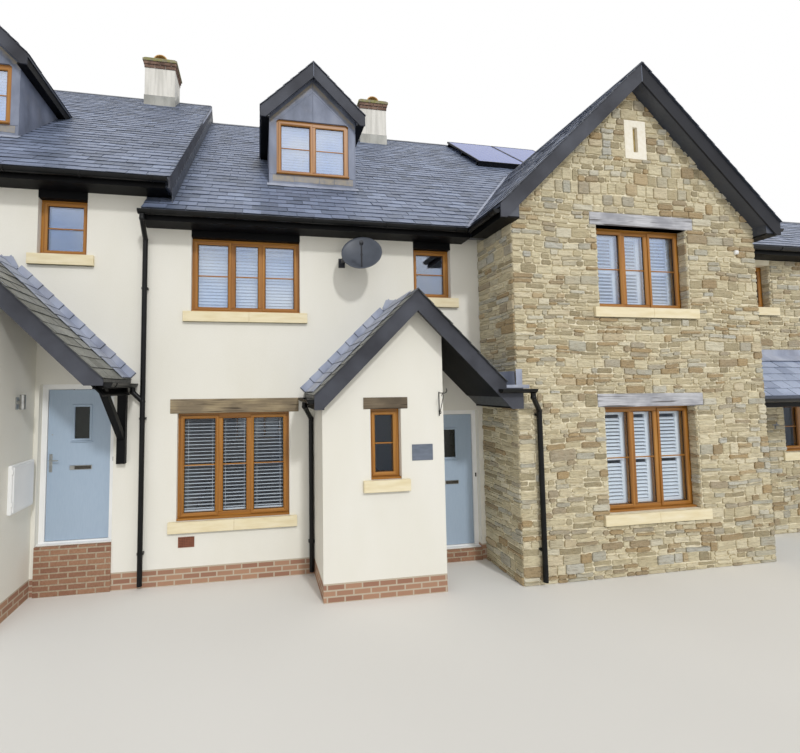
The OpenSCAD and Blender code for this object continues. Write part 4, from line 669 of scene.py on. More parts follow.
for i, (start, run, length, angle, wing) in enumerate(ridges):
    ridge = grown(f"ridge_pieces_{i}", ridge_maker, {
        "Length": length, "Pitch": math.radians(angle), "Wing": wing, "Tile": ridge_tile})
    ridge.data.transform(Matrix.Translation(start) @ Matrix.Rotation(math.atan2(run.y, run.x), 4, "Z"))
    ready(ridge)


# Valleys and flashings. Lead sheet, dressed into the valleys beside the wing, up the walls above
# the porch roofs in steps, and round the dormers and chimneys. It weathers to a dull lilac grey.
def tanned(tree):
    """Where rain has tanned the lead, most on the patches that carry a tone of their own."""
    edge = add(tree, "ShaderNodeMath", {0: mottle(tree, 0.07, 5), 1: own_tone(tree)})
    return add(tree, "ShaderNodeMapRange", {0: edge, 1: 0.80, 2: 1.45, 3: 0.0, 4: 0.85})


def lead_sheet(name, dark, middle, pale, wash):
    """Dressed lead in three tones of its patina, with a wash of another colour here and there."""
    return surface(name, 0.6, [
        ((0.25, 5, (1, 1, 2)), (0.3, dark), (0.5, middle), (0.72, pale)),
        ((0.4, 4), (0.5, "#000000"), (0.75, "#808080"), wash), (tanned, "#a39883")],
        [((0.2, 2), 0.006), ((0.03, 3), 0.0012)], Metallic=0.15)


lead = lead_sheet("weathered_lead_flashing", "#8a91a5", "#a2a9bb", "#b6bccb", "#9a938c")
grey_lead = lead_sheet("dull_grey_lead", "#8e8e89", "#a5a59f", "#b9b8b1", "#98907f")
cladding = lead_sheet("darkened_lead_cladding", "#636a7a", "#777e90", "#8990a2", "#8d857c")
# The laps are strips of darker lead, so that each lap shows as a dark line.
lap_lead = lead_sheet("darker_lead_laps", "#3f4450", "#525763", "#656b79", "#544c42")
dress(cladding, "dormer_walls")


def made(name, bm, material, body="house", smooth=False):
    """Turns finished mesh code into a piece."""
    mesh = meshed(name, bm)
    mesh.materials.append(material)
    mesh.polygons.foreach_set("use_smooth", [smooth] * len(mesh.polygons))
    return ready(placed(name, mesh), body)


def block(bm, low, high_corner, edge=0.0):
    """A block from corner to corner, its edges taken off by a small chamfer."""
    (x0, y0, z0), (x1, y1, z1) = low, high_corner
    faces = slab(bm, [(x, y, z0) for x, y in oblong(x0, y0, x1, y1)], high * (z1 - z0))
    if edge:
        bmesh.ops.bevel(bm, geom=list({e for f in faces for e in f.edges}), offset=edge, segments=1, affect="EDGES")


def blocks(bm, house, *rows):
    """Blocks of one house, each as its low corner, its high corner and, if its edges are taken off, their chamfer."""
    for x0, y0, z0, x1, y1, z1, *edge in rows:
        block(bm, at(x0, y0, z0, house), at(x1, y1, z1, house), *edge)


# The two open valleys: a strip of lead lies on each roof, up to where their slates stop.
bm = bmesh.new()
top_y, low_y = (wing_top - eaves_z) / pitch, -0.30
reach = min((wing_top - main_z(low_y)) / wing_slope, wing_half)
for side in (-1, 1):
    start, end = [at(wing_ridge + side * out, y, main_z(y)) for out, y in ((0.02, top_y), (reach, low_y))]
    for width, normal, away in ((0.13, Vector((0, -pitch, 1)), side), (0.10, Vector((side * wing_slope, 0, 1)), -side)):
        normal = normal.normalized()
        over = (end - start).normalized().cross(normal).normalized()
        over = over if over.x * away >= 0 else -over
        lift = normal * 0.005
        slab(bm, [start + lift, end + lift, end + lift + over * width, start + lift + over * width], normal * 0.003)
made("valley_lead", bm, lead)


def soakers(bm, seams, low, top, rng, cover=0.22, stand=0.095):
    """Lead pieces beside a wall that faces the street, one to each course, over the slates and up the wall."""
    count = round((top - low).length / 0.185)
    along = (top - low).normalized()
    normal = Vector((-along.z, 0, along.x)) if along.x > 0 else Vector((along.z, 0, -along.x))
    for i in range(count):
        a, b = low.lerp(top, i / count), low.lerp(top, (i + 1.04) / count)
        thick = 0.003 + 0.0025 * (i % 2)
        high_side, low_side = stand + rng.uniform(0.0, 0.007), stand - rng.uniform(0.0, 0.007)
        if i == count - 1:
            high_side = 0.03
        slab(bm, [a, b, b + normal * low_side, a + normal * high_side], Vector((0, -thick, 0)))
        reach, swing = cover + rng.uniform(-0.02, 0.02), along * rng.uniform(-0.02, 0.02)
        slab(bm, [a, b, b + swing + Vector((0, -reach, 0)), a + swing + Vector((0, -reach - 0.01, 0))], normal * thick)
        edge = along * 0.012
        rise, fall = normal * (high_side - 0.004), swing - back * reach
        slab(seams, [a, a + edge, a + edge + rise, a + rise], Vector((0, -0.008, 0)))
        slab(seams, [a, a + edge, a + edge + fall, a + fall], normal * 0.008)


bm, seams = bmesh.new(), bmesh.new()
rng = random.Random(5)
lift, face = 0.030, -0.001
for house, cover in ((0, 0.78), (1, 0.36)):
    peak = at(porch_x, face, porch_top + lift, house)
    for out, side in ((1.364, -1), (porch_reach[house], 1)):
        soakers(bm, seams, at(porch_x + out * side, face, porch_top - out + lift, house), peak, rng, cover)
    saddle = [(3.44, 3.88), (3.75, 3.88), (3.68, 4.015), (3.50, 4.015)]
    slab(bm, [at(x, face, z, house) for x, z in saddle], Vector((0, -0.010, 0)))
start, rise = at(wing_right + 0.004, -0.036, 3.180 + 0.008), Vector((0, -0.8, -0.71)).normalized()
for i in range(4):
    left, end = start + right * 1.34 * i, start + right * min(1.34 * (i + 1) + 0.05, 5.36)
    slab(bm, [left, end, end + rise * 0.17, left + rise * 0.17],
         Vector((0, -0.71, 0.8)).normalized() * (0.003 + 0.002 * (i % 2)))
    slab(bm, [left, end, end + high * 0.10, left + high * 0.10], Vector((0, -0.006 - 0.002 * (i % 2), 0)))
made("lead_soakers", bm, lead)
made("soaker_laps", seams, lap_lead)

# Beside the step between the two main roofs the slates turn up the board, and a strip of lead
# covers the top end of that board.
bm = bmesh.new()
run = 0.180 * math.cos(math.radians(42))
for k in range(1, 36):
    y, z = -0.30 + run * k, main_z(-0.30 + run * k)
    turned_up = [at(verge_x, y + out, z + rise) for out, rise in ((0, -0.02), (run, 0.10), (run, 0.30), (0, 0.26))]
    slab(bm, turned_up, right * (0.005 + 0.002 * (k % 2)))
made("verge_upstands", bm, slate)
bm = bmesh.new()
strip = [(2.9, 0.405), (4.5, 0.36), (4.5, 0.445), (2.9, 0.445)]
slab(bm, [at(verge_x, y, main_z(y) + rise) for y, rise in strip], right * 0.006)
made("verge_lead", bm, lead)


# Boards. Bargeboards, fascias and soffits of cellular plastic, black and satin smooth, pinned
# to the rafter ends; the ones on the gables have faded to a dark slate grey, and are darker on the right.
dust = (0.3, 5, (3, 3, 1))
black_board = surface("satin_black_board", 0.5, [(dust, (0.3, "#060607"), (0.75, "#0e0f11"))],
                      [(dust, 0.001), ((0.003, 2), 0.0002)], IOR=1.46, Specular_IOR_Level=0.15)
dress(black_board, "eaves_boards", "canopy_bracket")


def darker_right(tree):
    """The right-hand slope of the gable and what lies beyond it, which is darker."""
    return add(tree, "ShaderNodeMapRange", {0: lies(tree, "X"), 1: 2.50, 2: 2.52, 3: 0.0, 4: 0.8})


dust = (0.35, 5, (2, 2, 2))
dress(surface("weathered_bargeboard", 0.65, [(dust, (0.3, "#35363c"), (0.7, "#555861")), (darker_right, "#1d1e23")],
              [(dust, 0.001), ((0.004, 2), 0.0003)], IOR=1.46, Specular_IOR_Level=0.25), "bargeboards")

# The sloping soffit over each front door: tongued boards 100 mm wide that run up the slope.
bm = bmesh.new()
for house, end in ((0, 4.800), (1, 5.180)):
    start, under = 4.001, porch_top + porch_x - 0.191
    for i in range(10):
        y = -1.022 + i * 0.102
        shape = [(start, under - start), (end, under - end), (end, under - end - 0.018), (start, under - start - 0.018)]
        slab(bm, [at(x, y, z, house) for x, z in shape], back * 0.099)
made("door_soffit_boards", bm, black_board)

# Black packers fill the wall from the heads of the upper windows to the soffit, and a thin
# cover strip hides the joint of the two bargeboards at each peak.
bm = bmesh.new()
for house in (0, 1):
    blocks(bm, house, (0.609, -0.006, 4.862, 2.170, 0.001, 4.955, 0.001), (3.960, -0.006, 4.855, 4.583, 0.001, 4.955, 0.001),
           (0.611, -0.005, 4.858, 2.168, 0.089, 4.867), (3.962, -0.005, 4.851, 4.581, 0.089, 4.860))
made("head_packers", bm, black_board)
bm = bmesh.new()
for house, x, y, z, drop in ((0, wing_ridge, -1.112, wing_top, 0.275), (0, porch_x, -0.998, porch_top, 0.275),
                             (0, dormer_x, 0.661, dormer_top, 0.262), (1, dormer_x, 0.661, dormer_top, 0.262),
                             (1, porch_x, -0.998, porch_top, 0.275)):
    blocks(bm, house, (x - 0.004, y - 0.0015, z - drop, x + 0.004, y + 0.002, z - 0.02))
made("board_joints", bm, cladding)


# Rainwater goods. Half-round gutters and 68 mm downpipes of black plastic, with brackets about
# 900 mm apart under the gutters.
black_plastic = surface("black_gutter_plastic", 0.32, [((0.15, 4), (0.35, "#070808"), (0.8, "#141517"))],
                        [((0.005, 2), 0.0003)], Specular_IOR_Level=0.25)
dress(black_plastic, "gutters", "downpipes")


def bracket_tree():
    """Straps round a gutter, set out along a straight run."""
    tree, given = new_tree("gutter_brackets", {"Run": 1.0, "Spacing": 0.9, "Radius": 0.056, "Strap": 0.026, "Plastic": None})
    line = add(tree, "GeometryNodeMeshLine", {
        "Count": ("CEIL", ("DIVIDE", given["Run"], given["Spacing"])), "Start Location": (0.15, 0, 0),
        "Offset": add(tree, "ShaderNodeCombineXYZ", {0: given["Run"]})}, mode="END_POINTS", count_mode="TOTAL")
    arc = add(tree, "GeometryNodeCurveArc", {
        "Resolution": 13, "Radius": ("ADD", given["Radius"], 0.003), "Start Angle": math.pi, "Sweep Angle": math.pi},
        mode="RADIUS")
    shape = add(tree, "GeometryNodeCurvePrimitiveQuadrilateral", {"Width": 0.005, "Height": given["Strap"]})
    strap = add(tree, "GeometryNodeCurveToMesh", {"Curve": arc, "Profile Curve": shape, "Fill Caps": True})
    stood = add(tree, "GeometryNodeTransform", {"Geometry": strap, "Rotation": (math.pi / 2, 0, math.pi / 2)})
    end_tree(tree, add(tree, "GeometryNodeInstanceOnPoints", {"Points": line, "Instance": stood}), given["Plastic"])
    return tree


bracket_maker = bracket_tree()
gutter_y, gutter_z, porch_gutter = -0.352, 5.066, 2.530
gutter_runs = [
    (1, 0, gutter_y, 5.706, gutter_y, gutter_z), (0, 0, gutter_y, 4.70, gutter_y, gutter_z),
    (0, 9.55, gutter_y, range_end, gutter_y, gutter_z), (0, 4.738, -1.09, 4.738, -0.3, gutter_z),
    (0, 9.522, -1.09, 9.522, -0.3, gutter_z), (0, 2.191, -1.02, 2.191, 0, porch_gutter),
    (1, 2.191, -1.02, 2.191, 0, porch_gutter), (0, -0.130, -1.02, -0.130, 0, 2.752)]
for i, (house, x0, y0, x1, y1, z) in enumerate(gutter_runs):
    a, b = at(x0, y0, z, house), at(x1, y1, z, house)
    straps = grown(f"gutter_brackets_{i}", bracket_maker, {"Run": (b - a).length - 0.2, "Plastic": black_plastic})
    straps.data.transform(Matrix.Translation(a) @ Matrix.Rotation(math.atan2(b.y - a.y, b.x - a.x), 4, "Z"))
    ready(straps)


# Windows. Double-glazed units in golden-oak foiled plastic: a mitred outer frame, opening sashes
# that stand proud on every second light, black gaskets, and one thin bar inside each pane.
def along_grain(tree, lengthwise, across, detail):
    """Streaks that follow the length of each member of a frame."""
    uv = add(tree, "ShaderNodeUVMap", uv_map="grain")
    lines = add(tree, "ShaderNodeMapping", {"Vector": uv, "Scale": (lengthwise, across, 1.0)})
    return add(tree, "ShaderNodeTexNoise", {"Vector": lines, "Scale": 1.0, "Detail": detail})


def fine_grain(tree):
    """Thin dark lines of the wood."""
    return along_grain(tree, 3.0, 160.0, 4.0)


def broad_grain(tree):
    """Broad light and dark bands of the wood."""
    return along_grain(tree, 0.8, 26.0, 2.0)


oak_foil = surface("golden_oak_foil", 0.38, [
    (broad_grain, (0.3, "#8f5c1e"), (0.5, "#a87028"), (0.7, "#b88238")),
    (fine_grain, (0.42, "#000000"), (0.62, "#909090"), "#744512")], [(fine_grain, 0.0003)], IOR=1.46, Coat_Weight=0.15)
gasket = surface("black_rubber_gasket", 0.7, [((0.02, 2), (0.3, "#0c0c0d"), (0.7, "#17171a"))])


def ring(bm, layer, box, section, house, y):
    """A mitred frame: a section of (distance in from the edge, depth) points run round a rectangle."""
    x0, z0, x1, z1 = box
    corners = [(x0, z0, 1, 1), (x1, z0, -1, 1), (x1, z1, -1, -1), (x0, z1, 1, -1)]
    for a, b in zip(corners, corners[1:] + corners[:1]):
        flat = abs(b[0] - a[0]) > abs(b[1] - a[1])
        rows = []
        for d, deep in section:
            rows.append([(bm.verts.new(at(c[0] + c[2] * d, y + deep, c[1] + c[3] * d, house)), c, d) for c in (a, b)])
        travelled = 0.0
        for i in range(len(section)):
            j = (i + 1) % len(section)
            step = math.hypot(section[j][0] - section[i][0], section[j][1] - section[i][1])
            face = bm.faces.new([rows[i][0][0], rows[i][1][0], rows[j][1][0], rows[j][0][0]])
            for loop, (row, v) in zip(face.loops, ((rows[i][0], 0), (rows[i][1], 0), (rows[j][1], step), (rows[j][0], step))):
                along = row[1][0] + row[1][2] * row[2] if flat else row[1][1] + row[1][3] * row[2]
                loop[layer].uv = (along + (7.3 if flat else 0.0), travelled + v + x0 + z0)
            travelled += step


def bar(bm, layer, box, y0, y1, house, edge=0.006, upright=True):
    """A straight member between two others, with chamfered front edges."""
    x0, z0, x1, z1 = box
    if upright:
        shape = [(x0, y1), (x0, y0 + edge), (x0 + edge, y0), (x1 - edge, y0), (x1, y0 + edge), (x1, y1)]
        ends = [[at(x, y, z, house) for x, y in shape] for z in (z0, z1)]
    else:
        shape = [(z0, y1), (z0, y0 + edge), (z0 + edge, y0), (z1 - edge, y0), (z1, y0 + edge), (z1, y1)]
        ends = [[at(x, y, z, house) for z, y in shape] for x in (x0, x1)]
    low, top = [[bm.verts.new(p) for p in end] for end in ends]
    length = (ends[1][0] - ends[0][0]).length
    faces = []
    for i in range(6):
        j = (i + 1) % 6
        face = bm.faces.new([low[i], low[j], top[j], top[i]])
        faces.append(face)
        for loop, (u, v) in zip(face.loops, ((0, i), (0, i + 1), (length, i + 1), (length, i))):
            loop[layer].uv = (u + x0, v * 0.03 + z0)
    faces += [bm.faces.new(low[::-1]), bm.faces.new(top)]
    bmesh.ops.recalc_face_normals(bm, faces=faces)


frame_w, mullion_w, sash_w, proud, frame_d = 0.082, 0.107, 0.046, 0.014, 0.070


def light_boxes(x, z, w, h, n):
    """The clear panes of a window, from its left edge, foot, width, height and number of lights."""
    clear = w - 2 * frame_w - (n - 1) * mullion_w
    widths = [clear / n] * n if n < 3 else [(clear - 0.329) / 2, 0.329, (clear - 0.329) / 2]
    lefts = [x + frame_w + sum(widths[:i]) + i * mullion_w for i in range(n)]
    return [(left, z + frame_w, left + wide, z + h - frame_w) for left, wide in zip(lefts, widths)]


def window(bm, rubber, layer, house, x, z, w, h, n, y):
    """One window unit whose frame starts at depth y."""
    outer = [(0, 0), (frame_w - 0.010, 0), (frame_w, 0.010), (frame_w, frame_d), (0, frame_d)]
    ring(bm, layer, (x, z, x + w, z + h), outer, house, y)
    panes = light_boxes(x, z, w, h, n)
    for left, right_pane in zip(panes, panes[1:]):
        bar(bm, layer, (left[2], z + frame_w, right_pane[0], z + h - frame_w), y, y + frame_d, house, 0.010)
    bar(bm, layer, (x, z, x + w, z + 0.026), y - 0.070, y + 0.002, house, 0.008, upright=False)
    for i, (x0, z0, x1, z1) in enumerate(panes):
        if i % 2 == 0:
            leaf = [(0, 0.004), (0, -proud + 0.004), (0.005, -proud), (sash_w - 0.014, -proud), (sash_w, -proud + 0.012),
                    (sash_w, 0.004)]
            ring(bm, layer, (x0 - sash_w, z0 - sash_w, x1 + sash_w, z1 + sash_w), leaf, house, y)
        front = y + (frame_d - 0.024) / 2
        seal = [(0, front - y - 0.006), (0.007, front - y - 0.006), (0.007, front - y + 0.001), (0, front - y + 0.001)]
        ring(rubber, rubber.loops.layers.uv.verify(), (x0 - 0.001, z0 - 0.001, x1 + 0.001, z1 + 0.001), seal, house, y)
        middle = z + h / 2
        bar(bm, layer, (x0, middle - 0.009, x1, middle + 0.009), front - 0.009, front, house, 0.004, upright=False)


def half_turn(house):
    """Half a turn about the corner post of a house, which brings work made for the front to the back."""
    post = at(0, 0, 0, house)
    return Matrix.Translation(post) @ Matrix.Rotation(math.pi, 4, "Z") @ Matrix.Translation(-post)


def window_set(name, node, units, house, behind=False):
    """All the windows of one house front, in one piece for the frames and one for the gaskets."""
    bm, rubber = bmesh.new(), bmesh.new()
    layer = bm.loops.layers.uv.new("grain")
    for x, z, w, h, n, y in units:
        window(bm, rubber, layer, house, x, z, w, h, n, y)
    for part in (bm, rubber) if behind else ():
        bmesh.ops.transform(part, matrix=half_turn(house), verts=part.verts)
    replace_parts(made(name, bm, oak_foil), node)
    made(name + "_gaskets", rubber, gasket)


def back_units(bay):
    """Windows of the back, as seen from there, from the X at which the room of a house starts."""
    y = reveal - depth
    return [(-bay - 2.059, 0.850, wide, 1.480, 3, y), (-bay - 2.059, 3.774, wide, 1.094, 3, y), (-bay - 3.671, *small, y)]


reveal, bay, stone_bay = 0.09, 0.300, wing_x + 0.360
wide, small = 1.559, (4.066, 0.621, 0.795, 1)
rendered_units = [(0.446, 0.850, wide, 1.480, 3, reveal), (0.610, 3.774, wide, 1.094, 3, reveal), (3.961, *small, reveal),
                  (2.991, 1.480, 0.413, 0.911, 1, reveal - 0.849), (1.8635, 6.325, 1.263, 0.976, 2, 0.845)]
wing_reveal = wing_face + stone_reveal
stone_units = [(6.420, 3.800, 1.572, 1.220, 3, wing_reveal), (6.420, 0.860, 1.572, 1.500, 3, wing_reveal),
               (10.300, *small, stone_reveal), (11.000, 1.430, wide, 0.880, 3, stone_reveal),
               (12.100, 3.774, wide, 1.094, 3, stone_reveal)]
house_bays = ((1, bay, "left"), (0, bay, "middle"), (0, stone_bay, "stone"))
window_set("left_house_windows", "left_window_frames", rendered_units, 1)
window_set("middle_house_windows", "middle_window_frames", rendered_units, 0)
window_set("stone_house_windows", "right_window_frames", stone_units, 0)
for house, start, name in house_bays:
    window_set(name + "_rear_windows", "rear_window_frames", back_units(start), house, behind=True)


# Glass. Sealed units of two clear panes. Each is a mirror tinted pale blue as a painted reflection
# of the sky, more at a slant, and the rest goes straight through. The low ones mirror much less and the
# high ones much more, a painted reflection of darker surroundings below and of the sky above.
glass = bpy.data.materials.new("clear_sealed_glass")
glass.use_nodes = True
tree = glass.node_tree
mirror = tree.nodes["Principled BSDF"]
for key, value in {"Metallic": 1.0, "Roughness": 0.02, "IOR": 1.5}.items():
    mirror.inputs[key].default_value = value
# Painted reflection: the mirror's pale blue stands for the sky.
painted_sky_tint = add(tree, "ShaderNodeValToRGB", {0: mottle(tree, 1.2, 3)}, ((0.3, "#b9d1fb"), (0.7, "#ecf2fe")))
tree.links.new(painted_sky_tint.outputs["Color"], mirror.inputs["Base Color"])
# Painted reflection by height: the share that is mirrored grows from the low panes to the high ones.
upper = add(tree, "ShaderNodeMapRange", {0: lies(tree, "Z"), 1: 2.6, 2: 7.0, 3: 0.35, 4: 6.2})
facing = add(tree, "ShaderNodeLayerWeight", {"Blend": 0.5}).outputs["Facing"]
mirrored = ("MULTIPLY", ("MULTIPLY_ADD", ("POWER", facing, 5.0), 0.9, 0.09), upper.outputs[0])
through = add(tree, "ShaderNodeBsdfTransparent", {0: linear("#fafdff")})
pane = add(tree, "ShaderNodeMixShader", {0: mirrored, 1: through, 2: mirror})
tree.links.new(pane.outputs[0], tree.nodes["Material Output"].inputs["Surface"])
dress(glass, "window_glass")


# Blinds and shutters. White slatted blinds hang close behind the panes of the rendered houses,
# and the stone gable has painted shutters with slats, a rail at mid height and a tilt rod.
white_paint = surface("white_blind_enamel", 0.5, [((0.3,), (0.3, "#eff2f7"), (0.7, "#f7f9fc"))])


def slat_tree():
    """Slats hung one above the other, turned by an angle."""
    tree, given = new_tree("blind_slats", {"Width": 0.3, "Drop": 1.0, "Spacing": 0.048, "Depth": 0.048, "Tilt": 0.4,
                                           "Thickness": 0.0025, "Paint": None})
    line = add(tree, "GeometryNodeMeshLine", {
        "Count": ("FLOOR", ("DIVIDE", given["Drop"], given["Spacing"])),
        "Offset": add(tree, "ShaderNodeCombineXYZ", {2: given["Spacing"]})}, mode="OFFSET")
    uneven = add(tree, "FunctionNodeRandomValue", {2: -0.03, 3: 0.03, "Seed": 3}).outputs[1]
    turn = add(tree, "ShaderNodeCombineXYZ", {0: ("ADD", given["Tilt"], uneven)})
    size = add(tree, "ShaderNodeCombineXYZ", {0: given["Width"], 1: given["Depth"], 2: given["Thickness"]})
    slat = add(tree, "GeometryNodeMeshCube", {"Size": size})
    hung = add(tree, "GeometryNodeInstanceOnPoints", {"Points": line, "Instance": slat, "Rotation": turn})
    end_tree(tree, hung, given["Paint"])
    return tree


slat_maker = slat_tree()


def blind(name, units, tilt, house, spacing=0.048, depth=0.052, behind=False):
    """Blinds behind the lights of some windows, one blind to a light, with their rails and cords."""
    rails = bmesh.new()
    place = half_turn(house) if behind else Matrix()
    for i, (x, z, w, h, n, y) in enumerate(units):
        for j, (x0, z0, x1, z1) in enumerate(light_boxes(x, z, w, h, n)):
            x0, x1 = x0 - 0.02, x1 + 0.02
            slats = grown(f"{name}_slats_{house}_{i}_{j}", slat_maker, {
                "Width": x1 - x0, "Drop": z1 - z0 - 0.02, "Spacing": spacing, "Depth": depth, "Tilt": tilt,
                "Paint": white_paint})
            slats.data.transform(place @ Matrix.Translation(at((x0 + x1) / 2, y + frame_d + 0.035, z0 + 0.035, house)))
            ready(slats)
            hung = y + frame_d
            blocks(rails, house, (x0, hung + 0.015, z1 - 0.01, x1, hung + 0.055, z1 + 0.03, 0.002),
                   (x0, hung + 0.02, z0 - 0.012, x1, hung + 0.05, z0 + 0.012, 0.002),
                   *[(x - 0.0015, hung + 0.006, z0, x + 0.0015, hung + 0.009, z1)
                     for x in (x0 + (x1 - x0) * share for share in (0.14, 0.86))])
    bmesh.ops.transform(rails, matrix=place, verts=rails.verts)
    made(f"{name}_rails_{house}", rails, white_paint)


for house in (0, 1):
    blind("lower_blinds", rendered_units[:1], 0.08, house, 0.050, 0.034)
    blind("upper_blinds", rendered_units[1:2], 1.12, house)
    blind("dormer_blinds", rendered_units[4:], 1.20, house)
    blind("rear_blinds", back_units(bay), 1.25, house, behind=True)
blind("stone_rear_blinds", back_units(stone_bay), 1.25, 0, behind=True)


def shutters(name, units, tilt):
    """Painted shutters behind each light: stiles, three rails, slats between them and a tilt rod."""
    bm = bmesh.new()
    for i, (x, z, w, h, n, y) in enumerate(units):
        front = y + frame_d + 0.012
        for j, (x0, z0, x1, z1) in enumerate(light_boxes(x, z, w, h, n)):
            x0, x1, middle = x0 - 0.03, x1 + 0.03, (z0 + z1) / 2
            rail, stile = 0.045, 0.095
            for a, b in ((x0, x0 + rail), (x1 - stile, x1)):
                blocks(bm, 0, (a, front, z0 - 0.02, b, front + 0.028, z1 + 0.02, 0.002))
            for a, b in ((z0 - 0.02, z0 + rail), (middle - rail, middle + rail), (z1 - rail, z1 + 0.02)):
                blocks(bm, 0, (x0 + rail, front, a, x1 - stile, front + 0.028, b, 0.002))
            for k, (a, b) in enumerate(((z0 + rail, middle - rail), (middle + rail, z1 - rail))):
                slats = grown(f"{name}_{i}_{j}_{k}", slat_maker, {
                    "Width": x1 - x0 - 0.142, "Drop": b - a, "Spacing": 0.053, "Depth": 0.052, "Tilt": tilt,
                    "Thickness": 0.008, "Paint": white_paint})
                slats.data.transform(Matrix.Translation(at((x0 + x1) / 2 - 0.025, front + 0.014, a + 0.03)))
                ready(slats)
                blocks(bm, 0, (x0 + 0.060, front + 0.034, a + 0.02, x0 + 0.068, front + 0.040, b - 0.02))
    made(name, bm, white_paint)


shutters("gable_shutters", stone_units[:2], 0.62)


# Sills and lintels. Sills of sawn yellow sandstone, each in two lengths with a fine joint, and
# lintels of green oak beams, weathered grey-brown, with long checks along their grain.
# The faces of the sills that look down are darkened to olive as painted shade.
sandstone_sill = surface("sawn_yellow_sandstone", 0.85, [
    ((0.05, 4, (6, 2, 1)), (0.3, "#e2d3ab"), (0.55, "#ebdfbd"), (0.8, "#f1e7cd")), (painted_shade_by_facing(-0.3, -0.8, 0.9), "#5d5838")],
    [((0.004, 3), 0.001)])
dress(surface("pale_cast_vent_stone", 0.9, [((0.05, 4), (0.3, "#ece5d3"), (0.7, "#f4efe2"))],
              [((0.005, 3), 0.0008)]), "vent_block")
ochre = surface("ochre_slit_mortar", 0.95, [((0.06, 4), (0.3, "#8d7a4a"), (0.7, "#b7a069"))])
bm = bmesh.new()
blocks(bm, 0, (7.132, wing_face + 0.030, 6.174, 7.208, wing_face + 0.040, 6.560, 0.001))
made("vent_slit_back", bm, ochre)


def sill(bm, x, z, w, face, joint=0.0, house=0):
    """A sill below an opening, in one length or in two."""
    left, end = x - 0.106, x + w + 0.106
    cuts = [left, left + (end - left) * joint, end] if joint else [left, end]
    for a, b in zip(cuts, cuts[1:]):
        blocks(bm, house, (a + 0.001, face - 0.050, z - 0.150, b - 0.001, face, z, 0.004))


bm = bmesh.new()
for house in (0, 1):
    for (x, z, w, h, n, y), joint in zip(rendered_units, (0.5, 0.52, 0, 0)):
        sill(bm, x, z, w, y - reveal, joint, house)
for (x, z, w, h, n, y), joint in zip(stone_units, (0.55, 0.5, 0, 0.5, 0.5)):
    sill(bm, x, z, w, y - stone_reveal, joint)
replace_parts(made("window_sills", bm, sandstone_sill), "sills")
for house, start, name in house_bays:
    bm = bmesh.new()
    for x, z, w, h, n, y in back_units(start):
        sill(bm, x, z, w, -depth, 0.5 if n > 1 else 0, house)
    bmesh.ops.transform(bm, matrix=half_turn(house), verts=bm.verts)
    made(name + "_rear_sills", bm, sandstone_sill)


def oak_beam(name, dark, middle, pale, stain):
    """Green oak that has weathered: tones of its fibres, soft damp stains, and checks along the grain."""
    fibres, checks = (0.012, 5, (30, 1, 1)), (0.05, 2, (14, 1, 0.7))
    return surface(name, 0.85, [
        (fibres, (0.3, dark), (0.55, middle), (0.8, pale)),
        ((0.22, 4, (1.6, 1, 1)), (0.40, "#000000"), (0.62, "#d8d8d8"), stain),
        (checks, (0.60, "#000000"), (0.65, "#e0e0e0"), "#332a20")], [(checks, -0.006), (fibres, 0.002)], IOR=1.45)


def beam_end(bm, low, top, rng):
    """A sawn beam, its long edges a little wavy and worn."""
    (x0, y0, z0), (x1, y1, z1) = low, top
    rows, count = [], 12
    for i in range(count + 1):
        x = x0 + (x1 - x0) * i / count
        r = [rng.uniform(0, 0.005) for _ in range(4)]
        rows.append([bm.verts.new(p) for p in (
            (x, y0 + 0.006 + r[0], z0), (x, y0, z0 + 0.008 + r[1]), (x, y0, z1 - 0.008 - r[2]), (x, y0 + 0.006 + r[3], z1),
            (x, y1, z1), (x, y1, z0))])
    faces = [bm.faces.new([a[j], a[(j + 1) % 6], b[(j + 1) % 6], b[j]]) for a, b in zip(rows, rows[1:]) for j in range(6)]
    faces += [bm.faces.new(rows[0][::-1]), bm.faces.new(rows[-1])]
    bmesh.ops.recalc_face_normals(bm, faces=faces)


rng = random.Random(17)
brown, dark, silver = bmesh.new(), bmesh.new(), bmesh.new()
for house in (0, 1):
    beam_end(brown, at(0.350, -0.012, 2.330, house), at(2.140, 0.089, 2.530, house), rng)
    beam_end(dark, at(2.900, -0.861, 2.391, house), at(3.495, -0.761, 2.541, house), rng)
for z in (2.360, 5.020):
    beam_end(silver, at(6.314, -0.915, z), at(8.098, -0.770, z + 0.190), rng)
for name, bm, wood, *shades in (
        ("brown_oak_lintels", brown, "brown_oak_beam", "#7a6c56", "#a09072", "#b3a58a", "#6f6353"),
        ("porch_oak_lintels", dark, "umber_oak_beam", "#5b5043", "#776a57", "#8b7d69", "#4f463a"),
        ("silvered_oak_lintels", silver, "silvered_oak_beam", "#a3a4a8", "#c2c3c8", "#d6d7dc", "#85868f")):
    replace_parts(made(name, bm, oak_beam(wood, *shades)), "lintels")


# Front doors. Composite doors faced in light blue-grey foil with a faint grain, in white foiled
# frames. A bead runs round the small pane, and the fittings are of satin steel.
grain = (0.004, 3, (1, 1, 24))
blue_foil = surface("light_blue_door_foil", 0.42, [(grain, (0.3, "#9fb2c6"), (0.7, "#a9bacc"))], [(grain, 0.0002)], IOR=1.46)
dress(blue_foil, "left_door", "middle_door", "fixed_doors")
dress(surface("white_frame_foil", 0.4, [((0.4, 3), (0.3, "#eceded"), (0.7, "#f5f5f4"))], IOR=1.46), "door_frames")
satin_steel = surface("satin_steel", 0.32, [((0.05, 4), (0.3, "#a3a4a2"), (0.7, "#bcbdba"))], Metallic=1.0)


